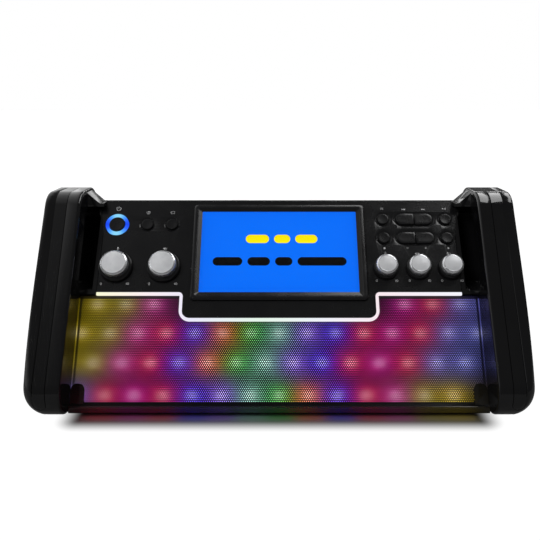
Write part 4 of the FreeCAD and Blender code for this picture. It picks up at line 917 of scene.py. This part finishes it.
# Strength of the room's soft light before and behind the console.
ROOM_FRONT, ROOM_BACK = 0.05, 0.35
# Directions, as parts of a unit vector: where the soft light starts to rise towards the back and where
# it is full, and the same for the paler wall, towards the left and towards the back.
SOFT_RISE, WALL_LEFT, WALL_BACK = (-0.4, 0.7), (-0.2, -0.34), (-0.62, 0.7)


def studio_floor():
    """Level paper sheet far wider than the console. Rays that see the background find it white. Close
    to the console, within a rectangle and a soft border round it, that white is withdrawn, a painted
    contact shadow, so that only the light that reaches the paper shows there, on its own light grey."""
    material, tree, surface = blank("white_paper_sweep")
    place = add(tree, "TexCoord").outputs["Object"]
    drift = noise(tree, place, PAPER_DRIFT, 3.0)
    shade = ramp(tree, drift, [(0.3, "#a4a4a4"), (0.7, "#a9a9a9")])
    sheet = add(tree, "BsdfPrincipled", {"Base Color": shade, "Roughness": 0.6,
                                         "Specular IOR Level": 0.1})
    # Painted contact shadow: the white that rays find fades out over a soft border into a rectangle
    # round the console.
    across = vectors(tree, "ABSOLUTE", place)
    outside = vectors(tree, "MAXIMUM", vectors(tree, "SUBTRACT", across, PAINTED_SHADOW_HALF), (0, 0, 0))
    away = add(tree, "VectorMath", {0: outside}, operation="LENGTH").outputs["Value"]
    white = mapped(tree, away, 0.0, PAINTED_SHADOW_FADE, interpolation_type="SMOOTHSTEP")
    seen = add(tree, "LightPath").outputs
    clear = maths(tree, "MAXIMUM", seen["Is Camera Ray"], seen["Is Transmission Ray"])
    sheen = maths(tree, "MULTIPLY", seen["Is Glossy Ray"], FLOOR_SHEEN)
    strength = maths(tree, "MULTIPLY", maths(tree, "MAXIMUM", clear, sheen), white)
    shine = add(tree, "Emission", {"Color": (1, 1, 1, 1), "Strength": strength})
    both = add(tree, "AddShader", {0: sheet.outputs["BSDF"], 1: shine.outputs["Emission"]})
    tree.links.new(both.outputs["Shader"], surface)
    side = np.linspace(-FLOOR_HALF, FLOOR_HALF, 3)
    x, y = np.meshgrid(side, side)
    mesh = bpy.data.meshes.new("studio_floor")
    corners = np.stack((x, y, np.zeros_like(x)), -1).reshape(-1, 3)
    mesh.from_pydata(corners.tolist(), [], grid_faces(3, 3, False).tolist())
    mesh.materials.append(material)
    floor = bpy.data.objects.new("studio_floor", mesh)
    bpy.context.scene.collection.objects.link(floor)
    floor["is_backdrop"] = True
    return floor


def studio_world():
    """White room for the eye. Its soft light is stronger behind the console than in front of it.
    Reflections find it dim, with a paler wall that rises behind the left handle."""
    world = bpy.data.worlds.new("studio")
    bpy.context.scene.world = world
    world.use_nodes = True
    tree = world.node_tree
    tree.nodes.clear()
    way = add(tree, "SeparateXYZ", {"Vector": add(tree, "TexCoord").outputs["Generated"]}).outputs
    soft = mapped(tree, way["Y"], *SOFT_RISE, ROOM_FRONT, ROOM_BACK)
    left = mapped(tree, way["X"], *WALL_LEFT)
    rise = mapped(tree, way["Y"], *WALL_BACK)
    sheen = mapped(tree, maths(tree, "MULTIPLY", left, rise), 0.0, 1.0, SHEEN, SHEEN_LEFT)
    seen = add(tree, "LightPath").outputs
    around = add(tree, "Mix", {"Factor": seen["Is Glossy Ray"], "A": soft, "B": sheen})
    clear = maths(tree, "MAXIMUM", seen["Is Camera Ray"], seen["Is Transmission Ray"])
    strength = maths(tree, "MAXIMUM", clear, around.outputs["Result"])
    back = add(tree, "Background", {"Color": (1, 1, 1, 1), "Strength": strength})
    tree.links.new(back.outputs["Background"], add(tree, "OutputWorld").inputs["Surface"])


def lamp(name, place, aim, size, power, lights, colour="#ffffff"):
    """Rectangular soft lamp, turned to shine at a point; lights says what it reaches."""
    light = bpy.data.lights.new(name, "AREA")
    light.shape = "RECTANGLE"
    light.size, light.size_y = size
    light.energy = power
    light.color = linear(colour)[:3]
    made = bpy.data.objects.new(name, light)
    bpy.context.scene.collection.objects.link(made)
    made.location = place
    made.rotation_euler = (Vector(aim) - Vector(place)).to_track_quat("-Z", "Y").to_euler()
    made.light_linking.receiver_collection = lights
    return made


def reach(name, pieces, state):
    """Set of pieces that a lamp lights alone, or leaves out."""
    group = bpy.data.collections.new(name)
    for piece in pieces:
        group.objects.link(piece)
    for member in group.collection_objects:
        member.light_linking.link_state = state
    return group


paper = studio_floor()
studio_world()
all_but_paper = reach("all_but_paper", [paper], "EXCLUDE")
paper_only = reach("paper_only", [paper], "INCLUDE")
silver_only = reach("silver_only", silver_caps, "INCLUDE")
lip_only = reach("lip_only", [lip], "INCLUDE")
all_but_bezel = reach("all_but_bezel", [paper, bezel], "EXCLUDE")
bezel_only = reach("bezel_only", [bezel], "INCLUDE")

# Lamps: place, point they shine at, width and height, power, and what they light.
CAPS_MIDDLE = (-0.1, -0.03, 0.13)
key = lamp("key_front", (-0.9, -1.1, 1.2), (0, -0.03, 0.12), (0.6, 0.6), 21, all_but_paper)
key.visible_glossy = False
lamp("ceiling_right", (0.85, 0.7, 1.7), (0.85, 0.7, 0), (0.5, 2.3), 19.0, all_but_bezel)
lamp("softbox_far_right", (1.7, 0.88, 1.7), (0, 0, 0.15), (0.5, 0.5), 4.7, all_but_paper)
lamp("backdrop_strip", (0.35, 1.9, 0.95), (0.1, 0, 0.15), (1.2, 0.25), 2.8, all_but_paper)
lamp("silver_above", (-0.65, -0.35, 1.6), CAPS_MIDDLE, (0.5, 0.5), 0.8, silver_only)
lamp("silver_left", (-1.5, 0.1, 0.3), CAPS_MIDDLE, (1.4, 0.7), 3.2, silver_only)
lamp("bezel_right", (0.54, -0.04, 1.5), (0, -0.04, 0.13), (0.85, 0.85), 11.0, bezel_only)

# The lowest row of lights also colours the paper and the lip in front of it. Each spill has a place and
# a point it shines at, both along Y and Z, a size, a power and what it lights.
SPILL_HALF_WIDTH = 0.18
SPILLS = (
    ("spill", (-0.136, 0.008), (-0.136, 0), (0.03, 0.008), 0.0006, paper_only),
    ("lip_spill", (-0.15, 0.01), (-0.133, 0.006), (0.02, 0.01), 0.03, lip_only),
)
_, lowest_first, lowest_way = LED_ROWS[-1]
for i, name in enumerate(LED_ORDER[::lowest_way]):
    x = (lowest_first + i * LED_PITCH) * MM
    if abs(x) >= SPILL_HALF_WIDTH:
        continue
    for kind, place, aim, size, power, lights in SPILLS:
        spill = lamp(f"{kind}_{i}", (x, *place), (x, *aim), size, power, lights, LED_COLOURS[name])
        spill.visible_camera = False
        spill.visible_glossy = False

# Camera at the photograph's height, a little above the console, looking down by 15 degrees.

PHOTO_WIDTH, FOCAL_LENGTH, SIDE_SHIFT = 540, 670, -9.1  # pixels of the photograph
SENSOR_WIDTH = 36.0
EYE_PLACE, EYE_TILT = (0, -0.6863, 0.286), 75.0

eye = bpy.data.cameras.new("eye")
eye.sensor_width = SENSOR_WIDTH
eye.lens = FOCAL_LENGTH / PHOTO_WIDTH * SENSOR_WIDTH
eye.shift_x = SIDE_SHIFT / PHOTO_WIDTH
camera = bpy.data.objects.new("eye", eye)
camera.location = EYE_PLACE
camera.rotation_euler = (math.radians(EYE_TILT), 0, 0)
bpy.context.scene.collection.objects.link(camera)
bpy.context.scene.camera = camera
bpy.context.scene.view_settings.view_transform = "Standard"

boxes = {"cad": cad_box, "visual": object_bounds()}
{k: [[float(c) for c in corner] for corner in b] for k, b in boxes.items()}
